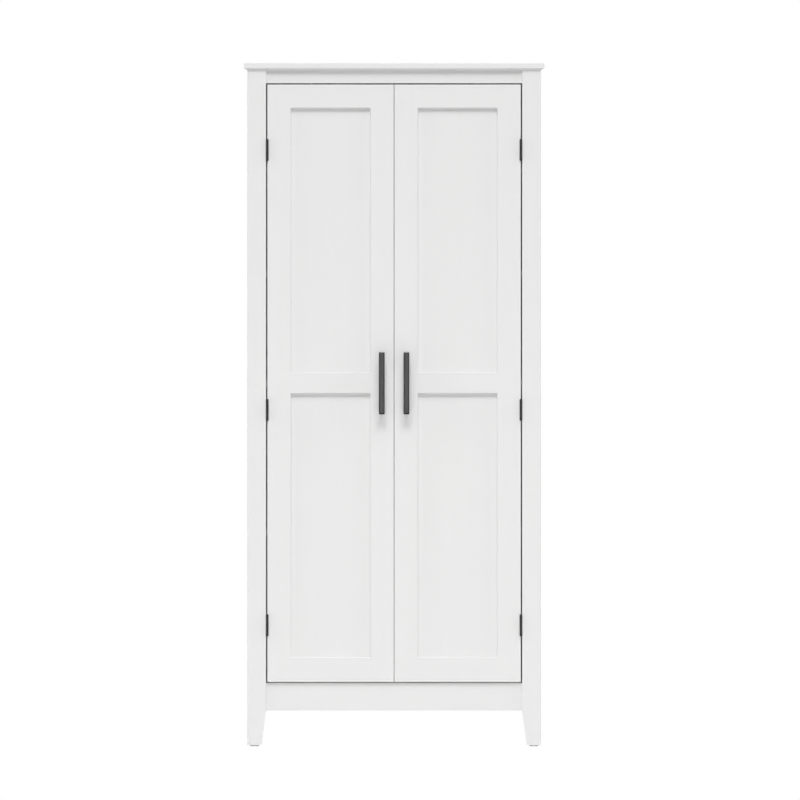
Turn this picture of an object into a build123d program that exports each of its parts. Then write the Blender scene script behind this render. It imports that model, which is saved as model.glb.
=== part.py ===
from build123d import *
import os

# Tall two-door pantry cabinet on four tapered feet, as its separate pieces.
# Millimetres. +X is to the right seen from the front, +Y to the back, +Z up.
# The origin is on the floor, under the middle of the whole object's box.

# ---- Overall sizes ----
height = 1676.0  # floor to the upper face of the top board
cabinet_width = 720.0  # across the outer faces of the posts
cabinet_depth = 391.0  # front of the front posts to the back of the rear posts
foot_height = 88.0  # free height under the apron and the side panels

# ---- Frame ----
top_thickness = 18.0
top_side_overhang = 8.5
top_front_overhang = 6.5
top_bevel = (6.0, 8.0, 5.0)  # bevel underneath: inward at the front, inward at the sides, upward
top_corner_radius = 2.5
top_edge_radius = 1.5
post_width = 46.0  # along X
post_depth = 32.0  # along Y
post_outer_radius = 3.0
post_edge_radius = 1.5
toe_width = 35.0  # foot at the floor, along X
toe_depth = 24.0  # foot at the floor, along Y
toe_chamfer = 3.0
side_thickness = 15.0
side_recess = 7.0  # side panels behind the posts' outer faces
board_thickness = 16.0  # rails, bottom panel and shelves
apron_height = 67.5
top_rail_height = 32.0
rear_top_rail_height = 60.0
rear_bottom_rail_height = 50.0
board_edge_radius = 1.0
back_panel_thickness = 4.0
back_panel_inset = 8.0  # back panel in front of the posts' back faces
back_groove_depth = 7.5
back_groove_slack = 0.3
back_panel_seam = 0.6

# ---- Shelves ----
shelf_side_clearance = 2.0
shelf_post_clearance = 2.0
hole_pitch = 32.0
hole_rows_each_way = 5  # rows above and below the middle of each bay
hole_column_offset = 45.0  # from the posts to each column of holes
hole_radius = 2.5
hole_depth = 10.0
upper_shelf_rows = (-4, 4)
lower_shelf_rows = (0,)
pin_clearance = 0.05
pin_collar_radius = 4.0
pin_collar_length = 1.5
pin_tongue = (8.0, 10.0, 2.0)  # along X, Y, Z

# ---- Doors ----
door_thickness = 19.0
door_side_gap = 3.0
door_top_gap = 3.0
door_bottom_gap = 1.5
door_meeting_gap = 0.8
meeting_bevel = 1.0  # meeting edge, further back at the door's back than at its front
stile_width = 58.0
top_rail_width = 58.0
mid_rail_width = 52.5
bottom_rail_width = 61.5
mid_rail_rise = 1.25  # middle of the mid rail above the middle of the opening
panel_setback = 9.0  # door panels behind the door's front face
panel_thickness = 6.0
groove_depth = 8.0
groove_slack = 0.2
panel_edge_clearance = 0.5
door_edge_radius = 1.5
recess_flare = (0.4, 1.4, 1.4)  # width at a recess's sides, width at its ends, depth
door_shelf_gap = 4.0  # from the doors' backs to the rails' backs and the boards' front edges

# ---- Hinges ----
hinge_from_top = 160.5
hinge_below_middle = 65.0
hinge_from_bottom = 139.5
hinge_length = 52.0
barrel_radius = 3.0
barrel_proud = 0.3  # from the door's face to the barrel
leaf_thickness = 1.35
leaf_depth = 15.0  # behind the door's face
knuckle_end_gap = 0.25
knuckle_clearance = 0.4  # between a leaf's edge and the other leaf's knuckle
hinge_pin_radius = 1.5
hinge_pin_clearance = 0.05
hinge_pin_cap_radius = 2.2
hinge_pin_cap = 0.8
hinge_screw_spacing = 18.0
hinge_screw_stagger = 1.5
hinge_screw = (2.9, 1.4, 13.0)  # head radius, shank radius, length

# ---- Handles ----
handle_length = 152.0
handle_width = 14.0
handle_thickness = 9.0
handle_projection = 32.0
handle_inset = 29.8  # from the meeting edge to the handle's middle
handle_centres = 128.0
handle_leg = (10.0, 12.0)  # along X and Z
handle_chamfer = 2.2
handle_end_chamfer = 3.5
handle_screw_radius = 2.0
handle_screw_bite = 10.0  # length in the handle's leg
handle_screw_head = (3.8, 2.4)  # radius, height

# ---- Catches ----
catch_width = 48.0
catch_depth = 17.0
catch_height = 20.0
catch_ear = (12.0, 4.0)  # length of each ear along X, thickness
catch_screw_length = 12.0
magnet_size = (14.0, 10.0, 9.0)
magnet_spacing = 28.0
magnet_proud = 1.0
magnet_to_board = 11.0  # from the board it is fixed to, to the magnets' middle
strike_size = (20.0, 1.2, 13.0)
strike_gap = 0.3
strike_screw = (2.9, 1.4, 10.0)

# ---- Fasteners ----
screw_clearance = 0.1
cam_radius = 7.5
cam_depth = 12.4
cam_distance = 24.0  # from the joint to the cam's axis
cam_slot = 7.6
cam_bolt_radius = 2.9
cam_bolt_neck = 1.9
cam_bolt_head = (3.2, 3.0)  # radius, length
cam_bolt_bite = 10.5  # length in the piece that the bolt is screwed into
cam_bolt_bore = 4.0
dowel_radius = 3.0
dowel_in_face = 10.0
dowel_in_end = 15.0
dowel_edge = 6.0  # from a rail's edge to a dowel's axis
end_clearance = 0.5
joint_inset = 60.0  # from the posts to the outer joints of a board
side_dowel_inset = 100.0
brad_radius = 0.8
brad_head = (2.4, 0.8)
brad_length = 16.0
brads_per_row = 5
brad_end_inset = 34.0
brad_edge = 5.0
glide_radius = 10.5
glide_height = 2.0
glide_nail = (1.2, 14.0)
anchor_radius = 2.75
anchor_spacing = 406.4

# ---- Places worked out from the sizes ----
front_reach = max(handle_projection, top_front_overhang)
face_y = (front_reach - cabinet_depth) / 2
back_y = face_y + cabinet_depth
middle_y = (face_y + back_y) / 2
outer_x = cabinet_width / 2
inner_x = outer_x - post_width
side_outer_x = outer_x - side_recess
side_inner_x = side_outer_x - side_thickness
under_top = height - top_thickness
post_back_y = face_y + post_depth
rear_post_y = back_y - post_depth
door_back_y = face_y + door_thickness
rail_back_y = door_back_y + door_shelf_gap
rail_front_y = rail_back_y - board_thickness
panel_back_y = back_y - back_panel_inset
panel_front_y = panel_back_y - back_panel_thickness
rear_rail_y = panel_front_y - board_thickness
opening_low = foot_height + apron_height
opening_high = under_top - top_rail_height
door_low = opening_low + door_bottom_gap
door_high = opening_high - door_top_gap
door_middle = (door_low + door_high) / 2
door_outer_x = inner_x - door_side_gap
door_inner_x = door_meeting_gap / 2
fixed_low = door_middle - board_thickness / 2
fixed_high = door_middle + board_thickness / 2
hinge_heights = (
    door_high - hinge_from_top,
    door_middle - hinge_below_middle,
    door_low + hinge_from_bottom,
)
hinge_x = -door_outer_x
hinge_y = face_y - barrel_proud - barrel_radius
handle_x = -(door_inner_x + handle_inset)
LEFT, RIGHT = -1, 1

pieces = {}  # node name: shape
cuts = {}  # node name: shapes to cut from it


def block(x, y, z):
    """A box between three (low, high) pairs."""
    spans = [(min(pair), max(pair)) for pair in (x, y, z)]
    centre = [(low + high) / 2 for low, high in spans]
    return Pos(*centre) * Box(*[high - low for low, high in spans])


def rod(start, direction, radius, length):
    """A round bar from a point, along a direction."""
    return extrude(Plane(origin=start, z_dir=direction) * Circle(radius), length)


def along(start, direction, distance):
    """The point at a distance from another, along a direction."""
    return Vector(*start) + Vector(*direction) * distance


def turned(start, direction, outline):
    """A round solid about the line from a point along a direction.

    The outline is (distance along the line, radius) pairs, from the first end to the last.
    """
    ends = [(outline[0][0], 0.0), *outline, (outline[-1][0], 0.0)]
    points = [Vector(radius, 0, distance) for distance, radius in ends]
    profile = make_face(Polyline(*points, close=True))
    return Plane(origin=start, z_dir=direction) * revolve(profile, Axis.Z)


def mirrored(shape):
    """The same piece on the other side of the cabinet."""
    return mirror(shape, about=Plane.YZ)


def to_side(shape, side):
    """A piece drawn on the left, kept or mirrored."""
    return shape if side == LEFT else mirrored(shape)


def cut_from(names, *shapes):
    """Notes holes or grooves to be cut from some nodes."""
    for name in names:
        cuts.setdefault(name, []).extend(shapes)


def add_solid(name, solid):
    """Adds one more solid to a node that is a group of separate solids."""
    pieces.setdefault(name, []).append(solid)


def eased(shape, radius, axis):
    """The same box with its edges along one axis rounded."""
    return fillet(shape.edges().filter_by(axis), radius)


# ---- Frame ----
def top_board():
    """The board over everything, bevelled underneath at the front and sides."""
    half = outer_x + top_side_overhang
    front = face_y - top_front_overhang
    board = block((-half, half), (front, back_y), (under_top, height))
    corners = board.edges().filter_by(Axis.Z).sort_by(Axis.Y)[:2]
    board = fillet(corners, top_corner_radius)
    board = fillet(board.faces().sort_by(Axis.Z)[-1].edges(), top_edge_radius)
    front_inward, side_inward, upward = top_bevel
    wedge = [(front, under_top), (front + front_inward, under_top), (front, under_top + upward)]
    points = [Vector(-half, y, z) for y, z in wedge]
    board -= extrude(make_face(Polyline(*points, close=True)), 2 * half, dir=(1, 0, 0))
    for side in (LEFT, RIGHT):
        wedge = [(half, under_top), (half - side_inward, under_top), (half, under_top + upward)]
        points = [Vector(side * x, front, z) for x, z in wedge]
        face = make_face(Polyline(*points, close=True))
        board -= extrude(face, back_y - front, dir=(0, 1, 0))
    return board


def front_left_post():
    """A post whose foot tapers on its two inner faces."""
    slope = (post_width - toe_width) / (foot_height - glide_height)
    across = [
        (-outer_x, glide_height),
        (-outer_x + toe_width - toe_chamfer, glide_height),
        (-outer_x + toe_width + slope * toe_chamfer, glide_height + toe_chamfer),
        (-inner_x, foot_height),
        (-inner_x, under_top),
        (-outer_x, under_top),
    ]
    along_y = [
        (face_y, glide_height),
        (face_y + toe_depth, glide_height),
        (post_back_y, foot_height),
        (post_back_y, under_top),
        (face_y, under_top),
    ]
    front_view = make_face(Polyline(*[Vector(x, face_y, z) for x, z in across], close=True))
    side_view = make_face(Polyline(*[Vector(-outer_x, y, z) for y, z in along_y], close=True))
    post = extrude(front_view, post_depth, dir=(0, 1, 0))
    post &= extrude(side_view, post_width, dir=(1, 0, 0))
    upright = post.edges().filter_by(Axis.Z).group_by(Axis.X)
    post = fillet(upright[0].sort_by(Axis.Y)[0], post_outer_radius)
    upright = post.edges().filter_by(Axis.Z).group_by(Axis.X)
    return fillet(upright[-1], post_edge_radius)


def peg_heights(bay_low, bay_high, rows):
    """The heights of some rows of shelf holes, counted from the bay's middle."""
    middle = (bay_low + bay_high) / 2
    return [middle + row * hole_pitch for row in rows]


def frame():
    """Posts, side panels, rails and the top."""
    pieces["top_board"] = top_board()
    post = front_left_post()
    rear = mirror(post, about=Plane(origin=(0, middle_y, 0), z_dir=(0, 1, 0)))
    side_panel = block(
        (-side_outer_x, -side_inner_x), (post_back_y, rear_post_y), (foot_height, under_top)
    )
    for side, word in ((LEFT, "left"), (RIGHT, "right")):
        pieces[f"front_{word}_post"] = to_side(post, side)
        pieces[f"rear_{word}_post"] = to_side(rear, side)
        pieces[f"{word}_side_panel"] = to_side(side_panel, side)
    across = (-inner_x, inner_x)
    front = (rail_front_y, rail_back_y)
    rear = (rear_rail_y, panel_front_y)
    bottom_low = opening_low - board_thickness
    rails = {
        "front_apron": (front, (foot_height, opening_low)),
        "front_top_rail": (front, (opening_high, under_top)),
        "rear_top_rail": (rear, (under_top - rear_top_rail_height, under_top)),
        "rear_bottom_rail": (rear, (bottom_low - rear_bottom_rail_height, bottom_low)),
    }
    for name, (y, z) in rails.items():
        pieces[name] = eased(block(across, y, z), board_edge_radius, Axis.X)


def full_board(low, high):
    """A board from side panel to side panel, notched round the four posts."""
    wide = block((-side_inner_x, side_inner_x), (post_back_y, rear_post_y), (low, high))
    deep = block((-inner_x, inner_x), (rail_back_y, panel_front_y), (low, high))
    return wide + deep


def boards():
    """Bottom panel, fixed shelf and the two halves of the back."""
    pieces["bottom_panel"] = full_board(opening_low - board_thickness, opening_low)
    pieces["fixed_shelf"] = full_board(fixed_low, fixed_high)
    half = inner_x + back_groove_depth - end_clearance
    y = (panel_front_y, panel_back_y)
    seam = back_panel_seam / 2
    lower = (foot_height + board_edge_radius, door_middle - seam)
    upper = (door_middle + seam, under_top - end_clearance)
    pieces["back_panel_lower"] = block((-half, half), y, lower)
    pieces["back_panel_upper"] = block((-half, half), y, upper)
    groove = block(
        (-inner_x - back_groove_depth, -inner_x),
        (panel_front_y - back_groove_slack / 2, panel_back_y + back_groove_slack / 2),
        (foot_height, under_top),
    )
    cut_from(["rear_left_post"], groove)
    cut_from(["rear_right_post"], mirrored(groove))


# ---- Shelves ----
def shelf_pin(x, y, z):
    """A pin for the left side panel, with a tongue that the shelf rests on."""
    inward = (1, 0, 0)
    start = (x - hole_depth + end_clearance, y, z)
    reach = hole_depth - end_clearance
    radius = hole_radius - pin_clearance
    pin = turned(
        start,
        inward,
        [
            (0, radius),
            (reach, radius),
            (reach, pin_collar_radius),
            (reach + pin_collar_length, pin_collar_radius),
        ],
    )
    length, width, thickness = pin_tongue
    tongue = block(
        (x + pin_collar_length, x + pin_collar_length + length),
        (y - width / 2, y + width / 2),
        (z - thickness / 2, z + thickness / 2),
    )
    return pin + tongue


def shelves():
    """Three loose shelves on pins, and the holes that the pins fit."""
    columns = (post_back_y + hole_column_offset, rear_post_y - hole_column_offset)
    every_row = range(-hole_rows_each_way, hole_rows_each_way + 1)
    bays = (
        ("upper", fixed_high, under_top, upper_shelf_rows),
        ("lower", opening_low, fixed_low, lower_shelf_rows),
    )
    half = side_inner_x - shelf_side_clearance
    y = (post_back_y + shelf_post_clearance, rear_post_y - shelf_post_clearance)
    number = 0
    for _, bay_low, bay_high, shelf_rows in bays:
        for z in peg_heights(bay_low, bay_high, every_row):
            for column in columns:
                hole = rod((-side_inner_x, column, z), (-1, 0, 0), hole_radius, hole_depth)
                cut_from(["left_side_panel"], hole)
                cut_from(["right_side_panel"], mirrored(hole))
        for z in peg_heights(bay_low, bay_high, reversed(shelf_rows)):
            number += 1
            low = z + pin_tongue[2] / 2
            shelf = block((-half, half), y, (low, low + board_thickness))
            pieces[f"adjustable_shelf_{number}"] = eased(shelf, board_edge_radius, Axis.X)
            for column in columns:
                pin = shelf_pin(-side_inner_x, column, z)
                add_solid("shelf_pins", pin)
                add_solid("shelf_pins", mirrored(pin))


# ---- Fasteners ----
def flat_screw(seat, inward, size):
    """A countersunk screw with its flat head level with a face, and the hole for it.

    The seat is the head's middle on the face. The size is head radius, shank radius, length.
    """
    head, shank, length = size
    cone = head - shank
    tip = length - shank
    solid = turned(seat, inward, [(0, head), (cone, shank), (tip, shank), (length, 0.1)])
    gap = screw_clearance
    outline = [(0, head + gap), (cone, shank + gap), (length + end_clearance, shank + gap)]
    hole = turned(seat, inward, outline)
    return solid - cross_recess(seat, inward, head), hole


def cross_recess(seat, inward, head):
    """The cross that a driver fits, in a head's face."""
    long, short, deep = head * 1.1, head * 0.24, head * 0.45
    plane = Plane(origin=seat, z_dir=inward)
    cross = Rectangle(long, short) + Rectangle(short, long)
    return extrude(plane * cross, deep)


def dowel_joint(place, inward, end_piece, face_piece):
    """A dowel across a joint, with its hole in an end and in a face."""
    start = along(place, inward, -dowel_in_face)
    add_solid("wood_dowels", rod(start, inward, dowel_radius, dowel_in_face + dowel_in_end))
    start = along(place, inward, -dowel_in_face - end_clearance)
    length = dowel_in_face + dowel_in_end + 2 * end_clearance
    hole = rod(start, inward, dowel_radius + screw_clearance, length)
    cut_from([end_piece, face_piece], hole)


def cam_joint(place, inward, to_face, thickness, end_piece, face_piece):
    """A bolt in one piece, drawn tight by a round cam in the next.

    The place is on the joint at mid-thickness. Inward points into the piece with the cam, and
    to_face from its mid-thickness to the face that the cam is dropped into.
    """
    head_radius, head_length = cam_bolt_head
    neck_start = cam_distance - cam_radius + 1.0
    reach = cam_distance - head_length / 2
    bolt = [
        (-cam_bolt_bite, cam_bolt_radius),
        (neck_start, cam_bolt_radius),
        (neck_start, cam_bolt_neck),
        (reach, cam_bolt_neck),
        (reach, head_radius),
        (reach + head_length, head_radius),
    ]
    add_solid("cam_bolts", turned(place, inward, bolt))
    gap = screw_clearance
    bite = along(place, inward, -cam_bolt_bite - end_clearance)
    thread_hole = rod(bite, inward, cam_bolt_radius + gap, cam_bolt_bite + end_clearance)
    bolt_hole = rod(place, inward, cam_bolt_bore, cam_distance)
    face = along(along(place, inward, cam_distance), to_face, thickness / 2)
    down = Vector(*to_face) * -1
    cam = rod(face, down, cam_radius, cam_depth)
    cam_hole = rod(face, down, cam_radius + gap, cam_depth + end_clearance / 2)
    slot_plane = Plane(
        origin=along(place, inward, cam_distance - cam_radius / 2), x_dir=to_face, z_dir=inward
    )
    slot = slot_plane * Box(cam_slot, cam_slot, cam_radius * 2)
    cross = cross_recess(face, down, cam_radius * 0.6)
    add_solid("cam_locks", cam - slot - cross)
    cut_from([face_piece], thread_hole)
    cut_from([end_piece], bolt_hole, cam_hole)


def rail_joints():
    """Each end of each rail: a cam bolt between two dowels, into the post."""
    rails = (
        ("front_apron", "front", 1, rail_front_y, foot_height, opening_low),
        ("front_top_rail", "front", 1, rail_front_y, opening_high, under_top),
        ("rear_top_rail", "rear", -1, rear_rail_y, under_top - rear_top_rail_height, under_top),
        (
            "rear_bottom_rail",
            "rear",
            -1,
            rear_rail_y,
            opening_low - board_thickness - rear_bottom_rail_height,
            opening_low - board_thickness,
        ),
    )
    for rail, end, cam_side, rail_y, low, high in rails:
        y = rail_y + board_thickness / 2
        middle = (low + high) / 2
        spread = (high - low) / 2 - dowel_edge
        for side, word in ((LEFT, "left"), (RIGHT, "right")):
            post = f"{end}_{word}_post"
            x, inward = side * inner_x, (-side, 0, 0)
            cam_joint((x, y, middle), inward, (0, cam_side, 0), board_thickness, rail, post)
            for z in (middle - spread, middle + spread):
                dowel_joint((x, y, z), inward, rail, post)


def board_joints():
    """Bottom panel and fixed shelf to the side panels, and those to the top and the posts."""
    joint_ys = (post_back_y + joint_inset, rear_post_y - joint_inset)
    heights = {
        "bottom_panel": opening_low - board_thickness / 2,
        "fixed_shelf": door_middle,
    }
    side_x = (side_outer_x + side_inner_x) / 2
    side_zs = (foot_height + side_dowel_inset, door_middle - 50, under_top - side_dowel_inset)
    for side, word in ((LEFT, "left"), (RIGHT, "right")):
        panel = f"{word}_side_panel"
        inward = (-side, 0, 0)
        for board, z in heights.items():
            for y in joint_ys:
                place = (side * side_inner_x, y, z)
                cam_joint(place, inward, (0, 0, -1), board_thickness, board, panel)
            dowel_joint((side * side_inner_x, middle_y, z), inward, board, panel)
        for y in joint_ys:
            place = (side * side_x, y, under_top)
            cam_joint(place, (0, 0, -1), (-side, 0, 0), side_thickness, panel, "top_board")
        for z in side_zs:
            place = (side * side_x, post_back_y, z)
            dowel_joint(place, (0, 1, 0), panel, f"front_{word}_post")
            place = (side * side_x, rear_post_y, z)
            dowel_joint(place, (0, -1, 0), panel, f"rear_{word}_post")
        post_x = side * (outer_x + inner_x) / 2
        for end, y in (("front", face_y + post_depth / 2), ("rear", back_y - post_depth / 2)):
            dowel_joint((post_x, y, under_top), (0, 0, -1), f"{end}_{word}_post", "top_board")


def back_fixings():
    """Brads through the back panels, and the two holes for screws into a wall."""
    head_radius, head_height = brad_head
    rail_low = opening_low - board_thickness - rear_bottom_rail_height
    rows = (
        (under_top - brad_edge * 2, "back_panel_upper", "rear_top_rail"),
        (door_middle + brad_edge, "back_panel_upper", "fixed_shelf"),
        (door_middle - brad_edge, "back_panel_lower", "fixed_shelf"),
        (rail_low + rear_bottom_rail_height / 2, "back_panel_lower", "rear_bottom_rail"),
    )
    step = 2 * (inner_x - brad_end_inset) / (brads_per_row - 1)
    outline = [
        (-head_height, head_radius * 0.7),
        (-head_height / 2, head_radius),
        (0, head_radius),
        (0, brad_radius),
        (brad_length - brad_radius * 2, brad_radius),
        (brad_length, 0.1),
    ]
    for z, panel, board in rows:
        for number in range(brads_per_row):
            place = (brad_end_inset - inner_x + number * step, panel_back_y, z)
            add_solid("back_panel_brads", turned(place, (0, -1, 0), outline))
            radius = brad_radius + screw_clearance
            hole = rod(place, (0, -1, 0), radius, brad_length + end_clearance)
            cut_from([panel, board], hole)
    z = under_top - rear_top_rail_height / 2
    for x in (-anchor_spacing / 2, anchor_spacing / 2):
        length = board_thickness + back_panel_thickness
        hole = rod((x, panel_back_y, z), (0, -1, 0), anchor_radius, length)
        cut_from(["back_panel_upper", "rear_top_rail"], hole)


def glides():
    """A nail-on glide under each foot."""
    nail_radius, nail_length = glide_nail
    for side, word in ((LEFT, "left"), (RIGHT, "right")):
        x = side * (outer_x - toe_width / 2)
        for end, y in (("front", face_y + toe_depth / 2), ("rear", back_y - toe_depth / 2)):
            outline = [
                (0, glide_radius - 1.0),
                (1.0, glide_radius),
                (glide_height, glide_radius),
                (glide_height, nail_radius),
                (glide_height + nail_length - nail_radius, nail_radius),
                (glide_height + nail_length, 0.1),
            ]
            add_solid("leg_glides", turned((x, y, 0), (0, 0, 1), outline))
            radius = nail_radius + screw_clearance
            length = nail_length + end_clearance
            hole = rod((x, y, glide_height), (0, 0, 1), radius, length)
            cut_from([f"{end}_{word}_post"], hole)


# ---- Doors ----
def door_members(word):
    """The left door's two stiles, three rails and two panels, named for one side."""
    x = (-door_outer_x, -door_inner_x)
    y = (face_y, door_back_y)
    blank = block(x, y, (door_low, door_high))
    bevel = [(x[1], y[0]), (x[1], y[1]), (x[1] - meeting_bevel, y[1])]
    points = [Vector(px, py, door_low) for px, py in bevel]
    blank -= extrude(make_face(Polyline(*points, close=True)), door_high - door_low, dir=(0, 0, 1))
    blank = fillet(blank.edges(), door_edge_radius)
    rail_x = (x[0] + stile_width, x[1] - stile_width)
    mid_low = door_middle + mid_rail_rise - mid_rail_width / 2
    mid_high = mid_low + mid_rail_width
    bottom_high = door_low + bottom_rail_width
    top_low = door_high - top_rail_width
    recesses = ((bottom_high, mid_low), (mid_high, top_low))
    tongue_y = (face_y + panel_setback, face_y + panel_setback + panel_thickness)
    groove_y = (tongue_y[0], tongue_y[1] + groove_slack)
    tenon = groove_depth - panel_edge_clearance
    tenon_x = (rail_x[0] - tenon, rail_x[1] + tenon)

    flares = []
    at_sides, at_ends, flare_depth = recess_flare
    for low, high in recesses:
        outlines = []
        for depth, wider, taller in ((0, 2 * at_sides, 2 * at_ends), (flare_depth, 0, 0)):
            middle = (sum(rail_x) / 2, face_y + depth, (low + high) / 2)
            plane = Plane(origin=middle, x_dir=(1, 0, 0), z_dir=(0, 1, 0))
            outlines.append(plane * Rectangle(rail_x[1] - rail_x[0] + wider, high - low + taller))
        flares.append(loft(outlines))

    for name, stile_x, groove_x in (
        ("hinge", (x[0], rail_x[0]), (rail_x[0] - groove_depth, rail_x[0])),
        ("meeting", (rail_x[1], x[1]), (rail_x[1], rail_x[1] + groove_depth)),
    ):
        stile = block(stile_x, y, (door_low, door_high)) & blank
        stile -= block(groove_x, groove_y, (door_low, door_high))
        pieces[f"{word}_door_{name}_stile"] = stile - flares

    for name, low, high in (
        ("top", top_low, door_high),
        ("mid", mid_low, mid_high),
        ("bottom", door_low, bottom_high),
    ):
        rail = (block(rail_x, y, (low, high)) & blank) + block(tenon_x, tongue_y, (low, high))
        if high < door_high:
            rail -= block(tenon_x, groove_y, (high - groove_depth, high))
        if low > door_low:
            rail -= block(tenon_x, groove_y, (low, low + groove_depth))
        pieces[f"{word}_door_{name}_rail"] = rail - flares

    for name, (low, high) in zip(("lower", "upper"), recesses):
        pieces[f"{word}_door_{name}_panel"] = block(tenon_x, tongue_y, (low - tenon, high + tenon))


def hinge_leaf(middle, on_door):
    """One leaf of a hinge of the left door: a plate and the knuckles that it curls into."""
    third = hinge_length / 4
    low, high = middle - hinge_length / 2, middle + hinge_length / 2
    seams = (low + third, high - third)
    gap = knuckle_end_gap / 2
    door_part = ((seams[0] + gap, seams[1] - gap),)
    frame_part = ((low, seams[0] - gap), (seams[1] + gap, high))
    mine, others = (door_part, frame_part) if on_door else (frame_part, door_part)
    if on_door:
        plate_x = (-door_outer_x - leaf_thickness, -door_outer_x)
    else:
        plate_x = (-inner_x, -inner_x + leaf_thickness)
    leaf = block(plate_x, (hinge_y, face_y + leaf_depth), (low, high))
    for start, end in others:
        reach = (start - knuckle_end_gap, end + knuckle_end_gap)
        around = rod(
            (hinge_x, hinge_y, reach[0]),
            (0, 0, 1),
            barrel_radius + knuckle_clearance,
            reach[1] - reach[0],
        )
        leaf -= around
        leaf -= block(plate_x, (hinge_y - barrel_radius, hinge_y + barrel_radius / 2), reach)
    for start, end in mine:
        leaf += rod((hinge_x, hinge_y, start), (0, 0, 1), barrel_radius, end - start)
    bore = hinge_pin_radius + hinge_pin_clearance
    leaf -= rod((hinge_x, hinge_y, low), (0, 0, 1), bore, hinge_length)
    return leaf


def hinge_pin(middle):
    """The pin of one hinge, with a low cap at each end."""
    half = hinge_length / 2
    cap = hinge_pin_cap + hinge_pin_clearance
    outline = [
        (-cap, hinge_pin_cap_radius * 0.6),
        (-cap + hinge_pin_cap * 0.6, hinge_pin_cap_radius),
        (-hinge_pin_clearance, hinge_pin_cap_radius),
        (-hinge_pin_clearance, hinge_pin_radius),
        (2 * half + hinge_pin_clearance, hinge_pin_radius),
        (2 * half + hinge_pin_clearance, hinge_pin_cap_radius),
        (2 * half + cap - hinge_pin_cap * 0.6, hinge_pin_cap_radius),
        (2 * half + cap, hinge_pin_cap_radius * 0.6),
    ]
    return turned((hinge_x, hinge_y, middle - half), (0, 0, 1), outline)


def hinges(side, word):
    """Three hinges of one door, with the screws in both leaves."""
    for middle in hinge_heights:
        add_solid(f"{word}_hinge_pins", to_side(hinge_pin(middle), side))
        for on_door in (False, True):
            leaf = hinge_leaf(middle, on_door)
            target = f"{word}_door_hinge_stile" if on_door else f"front_{word}_post"
            node = f"{word}_hinge_{'door' if on_door else 'frame'}"
            # each head lies level with the leaf's face in the gap
            seat_x = -door_outer_x - leaf_thickness if on_door else -inner_x + leaf_thickness
            inward = (1, 0, 0) if on_door else (-1, 0, 0)
            for row in (-1, 0, 1):
                stagger = hinge_screw_stagger if row else -hinge_screw_stagger
                y = face_y + leaf_depth / 2 + stagger
                seat = (seat_x, y, middle + row * hinge_screw_spacing)
                screw, hole = flat_screw(seat, inward, hinge_screw)
                leaf -= hole
                add_solid(f"{node}_screws", to_side(screw, side))
                cut_from([target], to_side(hole, side))
            add_solid(f"{node}_leaves", to_side(leaf, side))


def handle(side, word):
    """A bar on two legs, screwed from the back of the meeting stile."""
    front = face_y - handle_projection
    bar = block(
        (handle_x - handle_width / 2, handle_x + handle_width / 2),
        (front, front + handle_thickness),
        (door_middle - handle_length / 2, door_middle + handle_length / 2),
    )
    face = bar.faces().sort_by(Axis.Y)[0]
    ends = face.edges().filter_by(Axis.X)
    bar = chamfer(ends, handle_end_chamfer)
    bar = chamfer(bar.faces().sort_by(Axis.Y)[0].edges().filter_by(Axis.Z), handle_chamfer)
    leg_x, leg_z = handle_leg
    head_radius, head_height = handle_screw_head
    for z in (door_middle - handle_centres / 2, door_middle + handle_centres / 2):
        leg = block(
            (handle_x - leg_x / 2, handle_x + leg_x / 2),
            (front + handle_thickness, face_y),
            (z - leg_z / 2, z + leg_z / 2),
        )
        bar += eased(leg, handle_leg[0] / 8, Axis.Y)
        length = door_thickness + handle_screw_bite
        seat = (handle_x, door_back_y, z)
        outline = [
            (-head_height, head_radius * 0.55),
            (-head_height * 0.6, head_radius * 0.9),
            (0, head_radius),
            (0, handle_screw_radius),
            (length, handle_screw_radius),
        ]
        screw = turned(seat, (0, -1, 0), outline)
        screw -= cross_recess((handle_x, door_back_y + head_height, z), (0, -1, 0), head_radius)
        add_solid(f"{word}_handle_screws", to_side(screw, side))
        radius = handle_screw_radius + screw_clearance
        hole = rod(seat, (0, -1, 0), radius, length + end_clearance)
        bar -= hole
        cut_from([f"{word}_door_meeting_stile"], to_side(hole, side))
    pieces[f"{word}_handle"] = to_side(bar, side)


def strikes(side, word):
    """The two plates on the back of one door that the magnets hold."""
    width, thickness, tall = strike_size
    x = -magnet_spacing / 2
    stile = f"{word}_door_meeting_stile"
    for z in catch_heights():
        plate = block(
            (x - width / 2, x + width / 2),
            (door_back_y, door_back_y + thickness),
            (z - tall / 2, z + tall / 2),
        )
        seat = (x, door_back_y + thickness, z)
        screw, hole = flat_screw(seat, (0, -1, 0), strike_screw)
        add_solid(f"{word}_strike_plates", to_side(plate - hole, side))
        add_solid(f"{word}_strike_screws", to_side(screw, side))
        cut_from([stile], to_side(hole, side))


# ---- Catches ----
def catch_heights():
    """The heights of the magnets: under the fixed shelf, and on the bottom panel."""
    return (fixed_low - magnet_to_board, opening_low + magnet_to_board)


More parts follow.
